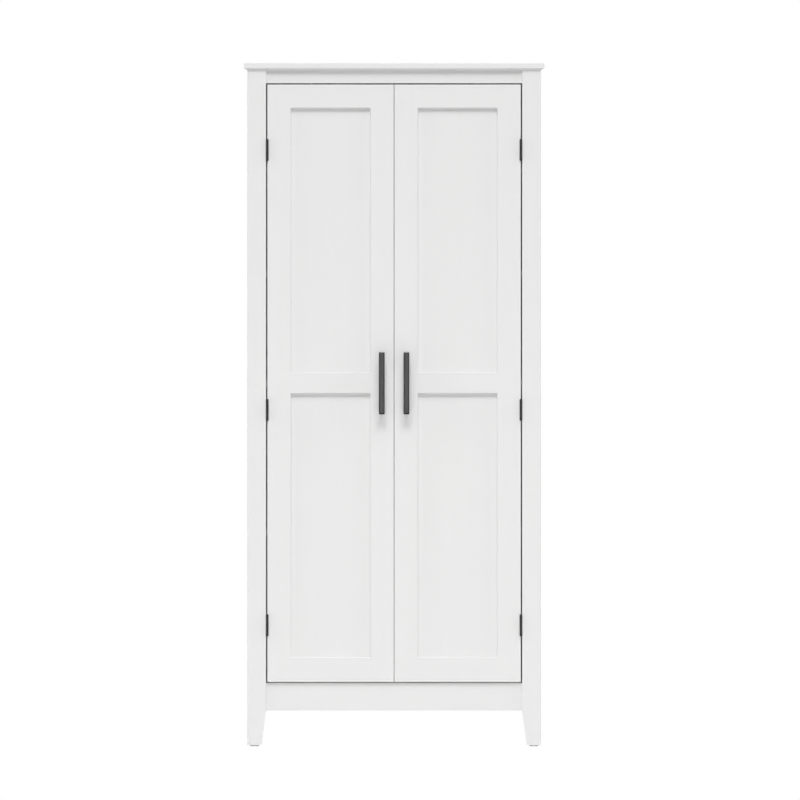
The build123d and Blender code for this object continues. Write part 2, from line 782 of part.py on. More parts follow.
def catch(board_z, up, board):
    """A double magnetic catch on a board's face, which is above it if up is 1."""
    magnet_front = door_back_y + strike_size[1] + strike_gap
    front = magnet_front + magnet_proud
    y = (front, front + catch_depth)
    half = catch_width / 2
    ear_length, ear_thickness = catch_ear
    body = block((-half, half), y, (board_z, board_z - up * catch_height))
    ears = (-half - ear_length, half + ear_length)
    body += block(ears, y, (board_z, board_z - up * ear_thickness))
    magnet_z = board_z - up * magnet_to_board
    width, depth, tall = magnet_size
    for side in (LEFT, RIGHT):
        x = side * magnet_spacing / 2
        magnet = block(
            (x - width / 2, x + width / 2),
            (magnet_front, magnet_front + depth),
            (magnet_z - tall / 2, magnet_z + tall / 2),
        )
        add_solid("catch_magnets", magnet)
        body -= magnet
        seat = (side * (half + ear_length / 2), front + catch_depth / 2, board_z - up * ear_thickness)
        size = (strike_screw[0], strike_screw[1], catch_screw_length)
        screw, hole = flat_screw(seat, (0, 0, up), size)
        add_solid("catch_screws", screw)
        body -= hole
        cut_from([board], hole)
    add_solid("catch_bodies", body)


def assemble():
    """Makes every piece, cuts the holes and grooves, and writes the files."""
    frame()
    boards()
    shelves()
    rail_joints()
    board_joints()
    back_fixings()
    glides()
    for side, word in ((LEFT, "left"), (RIGHT, "right")):
        door_members(word)
        if side == RIGHT:
            for name in [n for n in pieces if n.startswith("right_door_")]:
                pieces[name] = mirrored(pieces[name])
        hinges(side, word)
        handle(side, word)
        strikes(side, word)
    catch(fixed_low, 1, "fixed_shelf")
    catch(opening_low, -1, "bottom_panel")

    for name, shapes in cuts.items():
        pieces[name] = pieces[name] - shapes
    os.makedirs("parts", exist_ok=True)
    for name, piece in pieces.items():
        if isinstance(piece, list):
            piece = Compound(children=piece)
        export_step(piece, f"parts/{name}.step")


assemble()
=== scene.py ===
"""Looks for a tall white two-door pantry cabinet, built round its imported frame.

The boards, doors, hinge leaves, hinge pins and strike plates are the frame's own nodes with a
finish. The rest of the hardware is remade here in finer detail, in place of its nodes.
"""

import logging
import math
from collections import defaultdict
from dataclasses import dataclass, field
from enum import Enum
from typing import Any, Callable, Iterable, Sequence

import bmesh
import bpy
import numpy as np
from mathutils import Matrix, Vector

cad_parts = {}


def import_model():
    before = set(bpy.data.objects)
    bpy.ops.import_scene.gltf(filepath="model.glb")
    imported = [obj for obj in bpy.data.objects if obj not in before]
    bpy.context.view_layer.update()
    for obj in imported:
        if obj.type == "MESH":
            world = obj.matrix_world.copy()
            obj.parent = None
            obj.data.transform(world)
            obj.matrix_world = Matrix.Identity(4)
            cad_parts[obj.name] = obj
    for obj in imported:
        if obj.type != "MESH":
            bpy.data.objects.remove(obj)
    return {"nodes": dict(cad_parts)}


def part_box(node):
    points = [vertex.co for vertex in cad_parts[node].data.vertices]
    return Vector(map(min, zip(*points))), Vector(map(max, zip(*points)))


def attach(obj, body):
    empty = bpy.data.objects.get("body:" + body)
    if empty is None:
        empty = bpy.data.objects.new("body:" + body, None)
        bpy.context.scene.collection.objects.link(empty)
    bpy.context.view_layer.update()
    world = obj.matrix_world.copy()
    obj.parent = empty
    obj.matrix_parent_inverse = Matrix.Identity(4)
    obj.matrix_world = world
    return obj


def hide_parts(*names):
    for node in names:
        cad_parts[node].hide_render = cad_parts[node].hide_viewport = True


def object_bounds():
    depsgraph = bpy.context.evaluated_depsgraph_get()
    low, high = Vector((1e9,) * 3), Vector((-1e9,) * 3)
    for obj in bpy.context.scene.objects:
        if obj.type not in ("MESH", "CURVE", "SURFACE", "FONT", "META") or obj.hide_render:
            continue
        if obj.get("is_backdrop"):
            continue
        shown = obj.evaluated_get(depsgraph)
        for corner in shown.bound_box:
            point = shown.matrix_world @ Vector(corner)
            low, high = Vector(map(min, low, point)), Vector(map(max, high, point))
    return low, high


log = logging.getLogger("pantry_cabinet")

MM = 0.001
FULL_TURN = 2.0 * math.pi
WELD_STEPS = 1e6
SHARPEST_CURVE = math.radians(34)
SEAT_GAP = 0.02 * MM
FIRST_DOOR_SEED = 20
SEEDS_PER_DOOR = 10


# ---------------------------------------------------------------------------
# Node graphs
# ---------------------------------------------------------------------------
class Graph:
    """Adds nodes to one tree and joins them by socket name."""

    def __init__(self, tree: bpy.types.NodeTree) -> None:
        """Keeps the tree that nodes are added to."""
        self.tree = tree

    def add(self, kind: str, inputs: dict[Any, Any] | None = None,
            **settings: Any) -> bpy.types.Node:
        """Adds a node.

        Args:
            kind: The node's type name.
            inputs: Socket name or number to a value, or to a socket that is joined to it.
            settings: The node's own properties.

        Returns:
            The new node.
        """
        node = self.tree.nodes.new(kind)
        for name, value in settings.items():
            setattr(node, name, value)
        for name, value in (inputs or {}).items():
            socket = node.inputs[name]
            if isinstance(value, bpy.types.NodeSocket):
                self.tree.links.new(value, socket)
            else:
                socket.default_value = value
        return node

    def maths(self, operation: str, *values: Any) -> bpy.types.NodeSocket:
        """A Math node's result for some values or sockets."""
        return self.add("ShaderNodeMath", dict(enumerate(values)), operation=operation).outputs[0]

    def remap(self, value: bpy.types.NodeSocket, low: float, high: float, to_low: float,
              to_high: float) -> bpy.types.NodeSocket:
        """A value moved from one range to another, held inside it."""
        inputs = {"Value": value, "From Min": low, "From Max": high,
                  "To Min": to_low, "To Max": to_high}
        return self.add("ShaderNodeMapRange", inputs, clamp=True).outputs["Result"]

    def tint(self, factor: Any, first: Any, second: Any) -> bpy.types.NodeSocket:
        """A colour between two, by a factor.

        Args:
            factor: 0 for the first colour and 1 for the second, or a socket.
            first: The first colour, or a socket.
            second: The second colour, or a socket.

        Returns:
            The mixed colour's socket.
        """
        node = self.add("ShaderNodeMix", data_type="RGBA")
        for name, value in (("Factor", factor), ("A", first), ("B", second)):
            sockets = [s for s in node.inputs if s.name == name and s.enabled]
            if isinstance(value, bpy.types.NodeSocket):
                self.tree.links.new(value, sockets[0])
            else:
                sockets[0].default_value = value
        return next(s for s in node.outputs if s.enabled)

    def noise(self, vector: bpy.types.NodeSocket, scale: float, detail: float,
              roughness: float = 0.5, distortion: float = 0.0) -> bpy.types.NodeSocket:
        """A noise pattern's strength at each place."""
        inputs = {"Vector": vector, "Scale": scale, "Detail": detail, "Roughness": roughness,
                  "Distortion": distortion}
        return self.add("ShaderNodeTexNoise", inputs).outputs["Fac"]

    def emboss(self, shader: bpy.types.Node, strength: Any, distance: float,
               height: bpy.types.NodeSocket) -> None:
        """Gives a surface shader a fine relief."""
        inputs = {"Strength": strength, "Distance": distance, "Height": height}
        bump = self.add("ShaderNodeBump", inputs)
        self.tree.links.new(bump.outputs["Normal"], shader.inputs["Normal"])


def grey(level: float) -> tuple[float, float, float, float]:
    """A neutral colour."""
    return (level, level, level, 1.0)


def shaded(name: str) -> tuple[bpy.types.Material, Graph, bpy.types.Node]:
    """A new material with its graph and its surface shader.

    Args:
        name: The material's name.

    Returns:
        The material, its graph and its shader node.
    """
    material = bpy.data.materials.new(name)
    material.use_nodes = True
    graph = Graph(material.node_tree)
    return material, graph, material.node_tree.nodes["Principled BSDF"]


# ---------------------------------------------------------------------------
# Finishes
# ---------------------------------------------------------------------------
class Grain(Enum):
    """The way that the wood grain runs on a board, as the axis that it follows."""

    UPRIGHT = 2
    SIDEWAYS = 0


def stretched(graph: Graph, grain: Grain, across: float, along: float,
              shift: Sequence[float]) -> bpy.types.NodeSocket:
    """Object coordinates stretched along the grain.

    Args:
        graph: The graph to add to.
        grain: The grain's axis.
        across: Pattern scale across the grain, per metre.
        along: Pattern scale along the grain, per metre.
        shift: Where the pattern starts, so that two boards don't match.

    Returns:
        The stretched vector.
    """
    scale = [across, across, across]
    scale[grain.value] = along
    place = graph.add("ShaderNodeTexCoord").outputs["Object"]
    inputs = {"Vector": place, "Location": tuple(shift), "Scale": tuple(scale)}
    return graph.add("ShaderNodeMapping", inputs).outputs["Vector"]


@dataclass(frozen=True)
class Laminate:
    """White board with a faint printed and pressed wood grain.

    Each pattern's scale is a pair, across the grain and along it, per metre.
    """

    grain: Grain
    seed: int = 0
    level: float = 0.79
    figure: float = 0.022
    roughness: float = 0.42
    relief_m: float = 0.00005
    broad_scale: tuple[float, float] = (46.0, 2.6)
    fibre_scale: tuple[float, float] = (620.0, 16.0)
    pore_scale: tuple[float, float] = (1500.0, 70.0)
    mottle_scale: tuple[float, float] = (7.0, 1.6)
    seed_step: tuple[float, float, float] = (1.37, 2.11, 0.73)
    pore_level: float = 0.7
    pore_share: float = 0.05
    mottle_tint: tuple[float, float, float] = (0.995, 0.99, 0.982)

    def build(self) -> bpy.types.Material:
        """Makes the material.

        Returns:
            The new material.
        """
        material, graph, shader = shaded(f"white_laminate_{self.grain.name.lower()}_{self.seed}")
        shift = tuple(self.seed * step for step in self.seed_step)

        def pattern(scale: tuple[float, float], *settings: float) -> bpy.types.NodeSocket:
            """Noise that is stretched along the grain."""
            return graph.noise(stretched(graph, self.grain, *scale, shift), 1.0, *settings)

        broad = pattern(self.broad_scale, 5.0, 0.55, 0.6)
        fibre = pattern(self.fibre_scale, 4.0, 0.6)
        pores = pattern(self.pore_scale, 2.0)
        pits = graph.remap(pores, 0.60, 0.70, 0.0, 1.0)
        mottling = pattern(self.mottle_scale, 3.0)
        figure = graph.maths("MULTIPLY_ADD", broad, 0.6, graph.maths("MULTIPLY", fibre, 0.4))
        figure = graph.remap(figure, 0.32, 0.68, 0.0, 1.0)
        dark = grey(self.level * (1.0 - self.figure))
        tone = graph.tint(figure, dark, grey(self.level))
        tone = graph.tint(graph.maths("MULTIPLY", pits, self.pore_share), tone,
                          grey(self.level * self.pore_level))
        tone = graph.tint(graph.remap(mottling, 0.3, 0.7, 0.0, 0.5), tone,
                          (*(self.level * part for part in self.mottle_tint), 1.0))
        graph.tree.links.new(tone, shader.inputs["Base Color"])
        rough = graph.remap(fibre, 0.3, 0.7, self.roughness - 0.04, self.roughness + 0.05)
        graph.tree.links.new(rough, shader.inputs["Roughness"])
        height = graph.maths("SUBTRACT", graph.maths("MULTIPLY", figure, 0.5), pits)
        graph.emboss(shader, 0.55, self.relief_m, height)
        shader.inputs["Specular IOR Level"].default_value = 0.4
        return material


@dataclass(frozen=True)
class Hardboard:
    """Thin back board: bare pressed fibre behind, painted white inside."""

    level: float = 0.78
    dark_fibre: tuple[float, float, float] = (0.22, 0.132, 0.068)
    light_fibre: tuple[float, float, float] = (0.40, 0.27, 0.155)
    stain: tuple[float, float, float] = (0.19, 0.112, 0.06)
    relief_m: float = 0.00025

    def build(self) -> bpy.types.Material:
        """Makes the material.

        Returns:
            The new material.
        """
        material, graph, shader = shaded("hardboard")
        place = graph.add("ShaderNodeTexCoord").outputs["Object"]
        flecks = graph.noise(place, 900.0, 3.0, 0.7)
        cloud = graph.noise(place, 9.0, 4.0)
        felt = graph.add("ShaderNodeTexVoronoi", {"Vector": place, "Scale": 520.0})
        fibre = graph.tint(graph.remap(flecks, 0.3, 0.7, 0.0, 1.0), (*self.dark_fibre, 1.0),
                           (*self.light_fibre, 1.0))
        fibre = graph.tint(graph.remap(cloud, 0.3, 0.7, 0.0, 0.35), fibre, (*self.stain, 1.0))
        normal = graph.add("ShaderNodeNewGeometry").outputs["True Normal"]
        inward = graph.add("ShaderNodeSeparateXYZ", {"Vector": normal}).outputs["Y"]
        front = graph.maths("LESS_THAN", inward, -0.5)
        paint = graph.tint(graph.remap(flecks, 0.3, 0.7, 0.0, 1.0), grey(self.level * 0.985),
                           grey(self.level))
        graph.tree.links.new(graph.tint(front, fibre, paint), shader.inputs["Base Color"])
        rough = graph.remap(front, 0.0, 1.0, 0.82, 0.5)
        graph.tree.links.new(rough, shader.inputs["Roughness"])
        height = graph.maths("MULTIPLY_ADD", flecks, 0.5, felt.outputs["Distance"])
        strength = graph.remap(front, 0.0, 1.0, 0.8, 0.12)
        graph.emboss(shader, strength, self.relief_m, height)
        return material


@dataclass(frozen=True)
class Metal:
    """Metal with a fine directional or cast texture and a little uneven sheen."""

    name: str
    dark: tuple[float, float, float]
    light: tuple[float, float, float]
    roughness: float
    metallic: float = 1.0
    brushed: Grain | None = None
    fineness: float = 2600.0
    brush_along: float = 60.0
    relief_m: float = 0.00002

    def build(self) -> bpy.types.Material:
        """Makes the material.

        Returns:
            The new material.
        """
        material, graph, shader = shaded(self.name)
        place = graph.add("ShaderNodeTexCoord").outputs["Object"]
        if self.brushed is None:
            vector, scale = place, self.fineness
        else:
            vector = stretched(graph, self.brushed, self.fineness, self.brush_along,
                               (0.0, 0.0, 0.0))
            scale = 1.0
        fine = graph.noise(vector, scale, 3.0, 0.6)
        cloud = graph.noise(place, 85.0, 4.0)
        tone = graph.tint(graph.remap(cloud, 0.3, 0.7, 0.0, 1.0), (*self.dark, 1.0),
                          (*self.light, 1.0))
        graph.tree.links.new(tone, shader.inputs["Base Color"])
        shader.inputs["Metallic"].default_value = self.metallic
        uneven = graph.maths("MULTIPLY_ADD", fine, 0.5, graph.maths("MULTIPLY", cloud, 0.5))
        rough = graph.remap(uneven, 0.35, 0.65, self.roughness - 0.05, self.roughness + 0.07)
        graph.tree.links.new(rough, shader.inputs["Roughness"])
        graph.emboss(shader, 0.5, self.relief_m, fine)
        return material


@dataclass(frozen=True)
class Plastic:
    """Moulded plastic with a fine matt texture."""

    name: str
    level: float
    warmth: float = 0.02
    roughness: float = 0.5
    relief_m: float = 0.00003

    def build(self) -> bpy.types.Material:
        """Makes the material.

        Returns:
            The new material.
        """
        material, graph, shader = shaded(self.name)
        place = graph.add("ShaderNodeTexCoord").outputs["Object"]
        grain = graph.noise(place, 1800.0, 2.0)
        cloud = graph.noise(place, 60.0, 3.0)
        full = (self.level, self.level * (1.0 - self.warmth / 2), self.level * (1.0 - self.warmth),
                1.0)
        less = tuple(channel * 0.95 for channel in full[:3])
        tone = graph.tint(graph.remap(cloud, 0.3, 0.7, 0.0, 1.0), (*less, 1.0), full)
        graph.tree.links.new(tone, shader.inputs["Base Color"])
        rough = graph.remap(grain, 0.3, 0.7, self.roughness - 0.04, self.roughness + 0.04)
        graph.tree.links.new(rough, shader.inputs["Roughness"])
        graph.emboss(shader, 0.4, self.relief_m, grain)
        return material


@dataclass(frozen=True)
class Beech:
    """Bare beech, for the dowels."""

    dark: tuple[float, float, float] = (0.46, 0.29, 0.155)
    light: tuple[float, float, float] = (0.62, 0.43, 0.26)
    relief_m: float = 0.0001

    def build(self) -> bpy.types.Material:
        """Makes the material.

        Returns:
            The new material.
        """
        material, graph, shader = shaded("bare_beech")
        place = graph.add("ShaderNodeTexCoord").outputs["Object"]
        flecks = graph.noise(place, 700.0, 4.0, 0.7)
        tone = graph.tint(graph.remap(flecks, 0.35, 0.65, 0.0, 1.0), (*self.dark, 1.0),
                          (*self.light, 1.0))
        graph.tree.links.new(tone, shader.inputs["Base Color"])
        shader.inputs["Roughness"].default_value = 0.7
        graph.emboss(shader, 0.3, self.relief_m, flecks)
        return material


@dataclass
class Finishes:
    """Every material of the cabinet, made once."""

    hardboard: bpy.types.Material = field(default_factory=lambda: Hardboard().build())
    charcoal: bpy.types.Material = field(default_factory=lambda: Metal(
        "handle_charcoal", (0.020, 0.020, 0.021), (0.027, 0.027, 0.027), 0.37,
        metallic=0.0).build())
    black: bpy.types.Material = field(default_factory=lambda: Metal(
        "hinge_black", (0.014, 0.014, 0.015), (0.024, 0.024, 0.025), 0.38, metallic=0.0).build())
    zinc: bpy.types.Material = field(default_factory=lambda: Metal(
        "zinc_plate", (0.56, 0.57, 0.58), (0.70, 0.70, 0.68), 0.30).build())
    steel: bpy.types.Material = field(default_factory=lambda: Metal(
        "bright_steel", (0.50, 0.50, 0.50), (0.60, 0.60, 0.60), 0.26,
        brushed=Grain.SIDEWAYS).build())
    nylon: bpy.types.Material = field(default_factory=lambda: Plastic(
        "glide_nylon", 0.72, 0.03, 0.55).build())
    catch_white: bpy.types.Material = field(default_factory=lambda: Plastic(
        "catch_white", 0.78).build())
    beech: bpy.types.Material = field(default_factory=lambda: Beech().build())
    boards: dict[tuple[Grain, int], bpy.types.Material] = field(default_factory=dict)

    def board(self, grain: Grain, seed: int) -> bpy.types.Material:
        """The white laminate for one board, made when it is first asked for."""
        key = (grain, seed)
        if key not in self.boards:
            self.boards[key] = Laminate(grain, seed).build()
        return self.boards[key]


# ---------------------------------------------------------------------------
# Frame helpers
# ---------------------------------------------------------------------------
@dataclass(frozen=True)
class Solid:
    """The box of one solid of a node that is a group of separate solids."""

    low: Vector
    high: Vector

    @property
    def middle(self) -> Vector:
        """The box's centre."""
        return (self.low + self.high) / 2

    @property
    def size(self) -> Vector:
        """The box's size along each axis."""
        return self.high - self.low


def welded(mesh: bpy.types.Mesh) -> tuple[np.ndarray, np.ndarray]:
    """Which corners of a loose-triangle mesh are at the same point.

    Args:
        mesh: The mesh of a node.

    Returns:
        Vertex places, and for each vertex the number of its point.
    """
    places = np.empty(len(mesh.vertices) * 3, np.float32)
    mesh.vertices.foreach_get("co", places)
    places = places.reshape(-1, 3)
    keys = np.round(places * WELD_STEPS).astype(np.int64)
    _, point = np.unique(keys, axis=0, return_inverse=True)
    return places, point.ravel()


def solids_of(node: bpy.types.Object) -> list[Solid]:
    """The separate solids of a node, in a fixed order.

    Args:
        node: A node's object.

    Returns:
        One box for each solid, sorted by place.
    """
    places, point = welded(node.data)
    parent = list(range(int(point.max()) + 1))

    def root(number: int) -> int:
        """The point that stands for a solid's points."""
        while parent[number] != number:
            parent[number] = parent[parent[number]]
            number = parent[number]
        return number

    for face in node.data.polygons:
        corners = [root(int(point[v])) for v in face.vertices]
        for corner in corners[1:]:
            parent[corner] = corners[0]
    groups: dict[int, list[int]] = defaultdict(list)
    for vertex, number in enumerate(point):
        groups[root(int(number))].append(vertex)
    boxes = [places[np.array(group)] for group in groups.values()]
    found = [Solid(Vector(b.min(0).tolist()), Vector(b.max(0).tolist())) for b in boxes]
    return sorted(found, key=lambda s: tuple(round(c, 4) for c in s.middle))


def smooth_curves(node: bpy.types.Object, sharpest: float = SHARPEST_CURVE) -> None:
    """Shades a node's rounded stretches smoothly and leaves its edges sharp.

    Args:
        node: The node's object, whose vertices stay as they are.
        sharpest: The widest angle between two faces that still counts as one curve.
    """
    mesh = node.data
    _, point = welded(mesh)
    normals = np.empty(len(mesh.polygons) * 3, np.float32)
    mesh.polygons.foreach_get("normal", normals)
    normals = normals.reshape(-1, 3)
    areas = np.empty(len(mesh.polygons), np.float32)
    mesh.polygons.foreach_get("area", areas)
    around: dict[int, list[int]] = defaultdict(list)
    for face in mesh.polygons:
        for vertex in face.vertices:
            around[int(point[vertex])].append(face.index)
    limit = math.cos(sharpest)
    corner_normals: list[tuple[float, float, float]] = []
    for face in mesh.polygons:
        own = normals[face.index]
        for vertex in face.vertices:
            near = np.array(around[int(point[vertex])])
            close = near[normals[near] @ own >= limit]
            mean = (normals[close] * areas[close][:, None]).sum(0)
            length = float(np.linalg.norm(mean))
            corner_normals.append(tuple((mean / length if length > 0 else own).tolist()))
    mesh.polygons.foreach_set("use_smooth", [True] * len(mesh.polygons))
    mesh.normals_split_custom_set(corner_normals)


def dress(node: bpy.types.Object, material: bpy.types.Material) -> None:
    """Gives a node its finish and smooth curves.

    Args:
        node: The node's object.
        material: Its finish.
    """
    node.data.materials.clear()
    node.data.materials.append(material)
    smooth_curves(node)
    log.info("node %s: %s", node.name, material.name)


# ---------------------------------------------------------------------------
# Mesh making
# ---------------------------------------------------------------------------
def mesh_object(name: str, bm: bmesh.types.BMesh) -> bpy.types.Object:
    """Turns a bmesh into an object with its faces outward.

    Args:
        name: The object's name.
        bm: The mesh, which is freed.

    Returns:
        The new object, linked to the scene.
    """
    bmesh.ops.recalc_face_normals(bm, faces=bm.faces)
    mesh = bpy.data.meshes.new(name)
    bm.to_mesh(mesh)
    bm.free()
    made = bpy.data.objects.new(name, mesh)
    bpy.context.scene.collection.objects.link(made)
    return made


def lathe(bm: bmesh.types.BMesh, outline: Sequence[tuple[float, float]], segments: int,
          radius_at: Callable[[float, float, float], float] | None = None) -> None:
    """Adds a closed round solid about Z.

    Args:
        bm: The mesh to add to.
        outline: (height, radius) pairs from one end to the other, in metres.
        segments: Faces round the solid.
        radius_at: Changes a radius by (radius, height, angle), for threads and flutes.
    """
    rings = []
    for height, radius in outline:
        ring = []
        for number in range(segments):
            angle = FULL_TURN * number / segments
            r = radius_at(radius, height, angle) if radius_at else radius
            ring.append(bm.verts.new((r * math.cos(angle), r * math.sin(angle), height)))
        rings.append(ring)
    for lower, upper in zip(rings, rings[1:]):
        for number in range(segments):
            after = (number + 1) % segments
            bm.faces.new((lower[number], lower[after], upper[after], upper[number]))
    bm.faces.new(list(reversed(rings[0])))
    bm.faces.new(rings[-1])


def rounded_box(bm: bmesh.types.BMesh, low: Vector, high: Vector, radius: float,
                segments: int = 2) -> None:
    """Adds a box with rounded edges.

    Args:
        bm: The mesh to add to.
        low: The box's lowest corner.
        high: The box's highest corner.
        radius: The radius of its edges.
        segments: Faces across each rounded edge.
    """
    size = high - low
    made = bmesh.ops.create_cube(bm, size=1.0)["verts"]
    bmesh.ops.scale(bm, verts=made, vec=size)
    bmesh.ops.translate(bm, verts=made, vec=(low + high) / 2)
    edges = list({edge for vert in made for edge in vert.link_edges})
    bmesh.ops.bevel(bm, geom=edges, offset=radius, segments=segments, affect="EDGES", profile=0.5)


def carve(target: bpy.types.Object, tool: bpy.types.Object) -> None:
    """Cuts one object out of another and removes the tool.

    Args:
        target: The object that is cut.
        tool: The object whose shape is taken away.
    """
    modifier = target.modifiers.new("carve", "BOOLEAN")
    modifier.operation = "DIFFERENCE"
    modifier.solver = "EXACT"
    modifier.use_self = True
    modifier.object = tool
    graph = bpy.context.evaluated_depsgraph_get()
    mesh = bpy.data.meshes.new_from_object(target.evaluated_get(graph))
    target.modifiers.remove(modifier)
    target.data = mesh
    bpy.data.objects.remove(tool)


def cross_tool(reach: float, width: float, depth: float) -> bpy.types.Object:
    """The shape of a screwdriver's cross, pointing down into Z = 0.

    Args:
        reach: Length of each bar of the cross at the face.
        width: Width of each bar.
        depth: How deep it goes.

    Returns:
        A loose object to carve with.
    """
    bm = bmesh.new()
    overshoot, mouth, floor, narrowest = depth * 0.2, 1.05, 0.45, 0.75
    for turned in (False, True):
        corners = []
        for height, shrink in ((overshoot, mouth), (-depth, floor)):
            x, y = reach / 2 * shrink, width / 2 * max(shrink, narrowest)
            if turned:
                x, y = y, x
            corners.append([bm.verts.new((sx * x, sy * y, height))
                            for sx, sy in ((-1, -1), (1, -1), (1, 1), (-1, 1))])
        upper, lower = corners
        bm.faces.new(upper)
        bm.faces.new(list(reversed(lower)))
        for number in range(4):
            after = (number + 1) % 4
            bm.faces.new((upper[after], upper[number], lower[number], lower[after]))
    return mesh_object("cross_tool", bm)


# ---------------------------------------------------------------------------
# Repeated hardware
# ---------------------------------------------------------------------------
@dataclass(frozen=True)
class Place:
    """Where one repeated piece goes: its origin, where its +Z points and where its +X points."""

    at: Vector
    axis: Vector
    roll: Vector = Vector((0.0, 0.0, 1.0))


@dataclass
class Repeated:
    """One master piece set out on many places by a Geometry Nodes tree."""

    name: str
    master: bpy.types.Object
    material: bpy.types.Material
    places: list[Place]
    turn: float = 0.0
    seed: int = 1

    def tree(self) -> bpy.types.NodeTree:
        """Builds the tree that places, turns, joins and finishes the pieces.

        Returns:
            The Geometry Nodes tree, whose inputs are set on its modifier.
        """
        tree = bpy.data.node_groups.new(f"set_out_{self.name}", "GeometryNodeTree")
        sockets = tree.interface
        sockets.new_socket("Geometry", in_out="OUTPUT", socket_type="NodeSocketGeometry")
        sockets.new_socket("Places", in_out="INPUT", socket_type="NodeSocketGeometry")
        sockets.new_socket("Piece", in_out="INPUT", socket_type="NodeSocketObject")
        sockets.new_socket("Finish", in_out="INPUT", socket_type="NodeSocketMaterial")
        sockets.new_socket("Turn", in_out="INPUT", socket_type="NodeSocketFloat")
        sockets.new_socket("Seed", in_out="INPUT", socket_type="NodeSocketInt")
        graph = Graph(tree)
        given = graph.add("NodeGroupInput").outputs
        axis, roll = (graph.add("GeometryNodeInputNamedAttribute", {"Name": name},
                                data_type="FLOAT_VECTOR") for name in ("axis", "roll"))
        upright = graph.add("FunctionNodeAlignRotationToVector",
                            {"Vector": axis.outputs["Attribute"]}, axis="Z")
        rolled = graph.add("FunctionNodeAlignRotationToVector", {
            "Rotation": upright.outputs["Rotation"],
            "Vector": roll.outputs["Attribute"]}, axis="X", pivot_axis="Z")
        amount = graph.add("FunctionNodeRandomValue", {"Seed": given["Seed"]}, data_type="FLOAT")
        for socket in amount.inputs:
            if socket.enabled and socket.name == "Min":
                socket.default_value = 0.0
            if socket.enabled and socket.name == "Max":
                tree.links.new(given["Turn"], socket)
        value = next(s for s in amount.outputs if s.enabled)
        spin = graph.add("FunctionNodeAxisAngleToRotation",
                         {"Axis": (0.0, 0.0, 1.0), "Angle": value})
        turned = graph.add("FunctionNodeRotateRotation", {
            "Rotation": rolled.outputs["Rotation"],
            "Rotate By": spin.outputs["Rotation"]}, rotation_space="LOCAL")
        piece = graph.add("GeometryNodeObjectInfo",
                          {"Object": given["Piece"], "As Instance": True})
        placed = graph.add("GeometryNodeInstanceOnPoints", {
            "Points": given["Places"], "Instance": piece.outputs["Geometry"],
            "Rotation": turned.outputs["Rotation"]})
        real = graph.add("GeometryNodeRealizeInstances", {"Geometry": placed.outputs["Instances"]})
        done = graph.add("GeometryNodeSetMaterial", {
            "Geometry": real.outputs["Geometry"], "Material": given["Finish"]})
        graph.add("NodeGroupOutput", {"Geometry": done.outputs["Geometry"]})
        return tree

    def build(self) -> bpy.types.Object:
        """Sets the pieces out.

        Returns:
            All of them as one plain mesh object at the origin.
        """
        mesh = bpy.data.meshes.new(f"{self.name}_places")
        mesh.from_pydata([place.at for place in self.places], [], [])
        for name in ("axis", "roll"):
            attribute = mesh.attributes.new(name, "FLOAT_VECTOR", "POINT")
            values = [component for place in self.places for component in getattr(place, name)]
            attribute.data.foreach_set("vector", values)
        points = bpy.data.objects.new(f"{self.name}_places", mesh)
        bpy.context.scene.collection.objects.link(points)
        tree = self.tree()
        modifier = points.modifiers.new("set_out", "NODES")
        values = {"Piece": self.master, "Finish": self.material, "Turn": self.turn,
                  "Seed": self.seed}
        modifier.node_group = tree
        for item in tree.interface.items_tree:
            if item.in_out == "INPUT" and item.name in values:
                modifier[item.identifier] = values[item.name]
        graph = bpy.context.evaluated_depsgraph_get()
        made_mesh = bpy.data.meshes.new_from_object(points.evaluated_get(graph))
        made_mesh.name = self.name
        points.modifiers.remove(modifier)
        bpy.data.objects.remove(points)
        made = bpy.data.objects.new(self.name, made_mesh)
        bpy.context.scene.collection.objects.link(made)
        log.info("%s: %d pieces, %d faces", self.name, len(self.places), len(made_mesh.polygons))
        return made


@dataclass(frozen=True)
class WoodScrew:
    """A cross-head wood screw, its head at Z = 0 and its shank along +Z."""

    head_radius: float
    shank_radius: float
    length: float
    pitch: float
    domed: float = 0.0
    segments: int = 20

    def thread(self, radius: float, height: float, angle: float) -> float:
        """The radius on the thread's ridge or between ridges.

        Args:
            radius: The radius of the plain shank.
            height: How far along the screw.
            angle: How far round it.

        Returns:
            The radius at that place.
        """
        start = self.head_radius * 0.9
        if height < start or height > self.length - self.pitch:
            return radius
        phase = (height / self.pitch - angle / FULL_TURN) % 1.0
        ridge = max(0.0, 1.0 - abs(phase - 0.5) * 5.0)
        return radius * (0.80 + 0.20 * ridge)

    def build(self) -> bpy.types.Object:
        """Makes the master screw.

        Returns:
            One screw, to be repeated.
        """
        head, shank = self.head_radius, self.shank_radius
        under = (head - shank) if self.domed == 0.0 else 0.0
        if self.domed:
            crown = [(-self.domed * math.sin(a), head * math.cos(a)) for a in
                     (math.radians(step) for step in (82, 66, 50, 34, 18, 6))]
            top = [*crown, (-0.00005, head), (0.0, head * 0.985), (0.0, shank)]
        else:
            top = [(0.0, head * 0.96), (0.00008, head), (under, shank)]
        steps = max(6, round((self.length - under) / self.pitch * 4))
        body = [(under + (self.length - self.pitch * 1.6 - under) * n / steps, shank)
                for n in range(1, steps + 1)]
        tip = [(self.length - self.pitch * 0.6, shank * 0.55), (self.length, shank * 0.08)]
        bm = bmesh.new()
        lathe(bm, top + body + tip, self.segments, self.thread)
        screw = mesh_object("screw_master", bm)
        tool = cross_tool(head * 1.15, head * 0.30, head * 0.62 + self.domed * 0.4)
        tool.data.transform(Matrix.Rotation(math.pi, 4, "X"))
        tool.data.transform(Matrix.Translation((0.0, 0.0, -self.domed)))
        carve(screw, tool)
        return screw


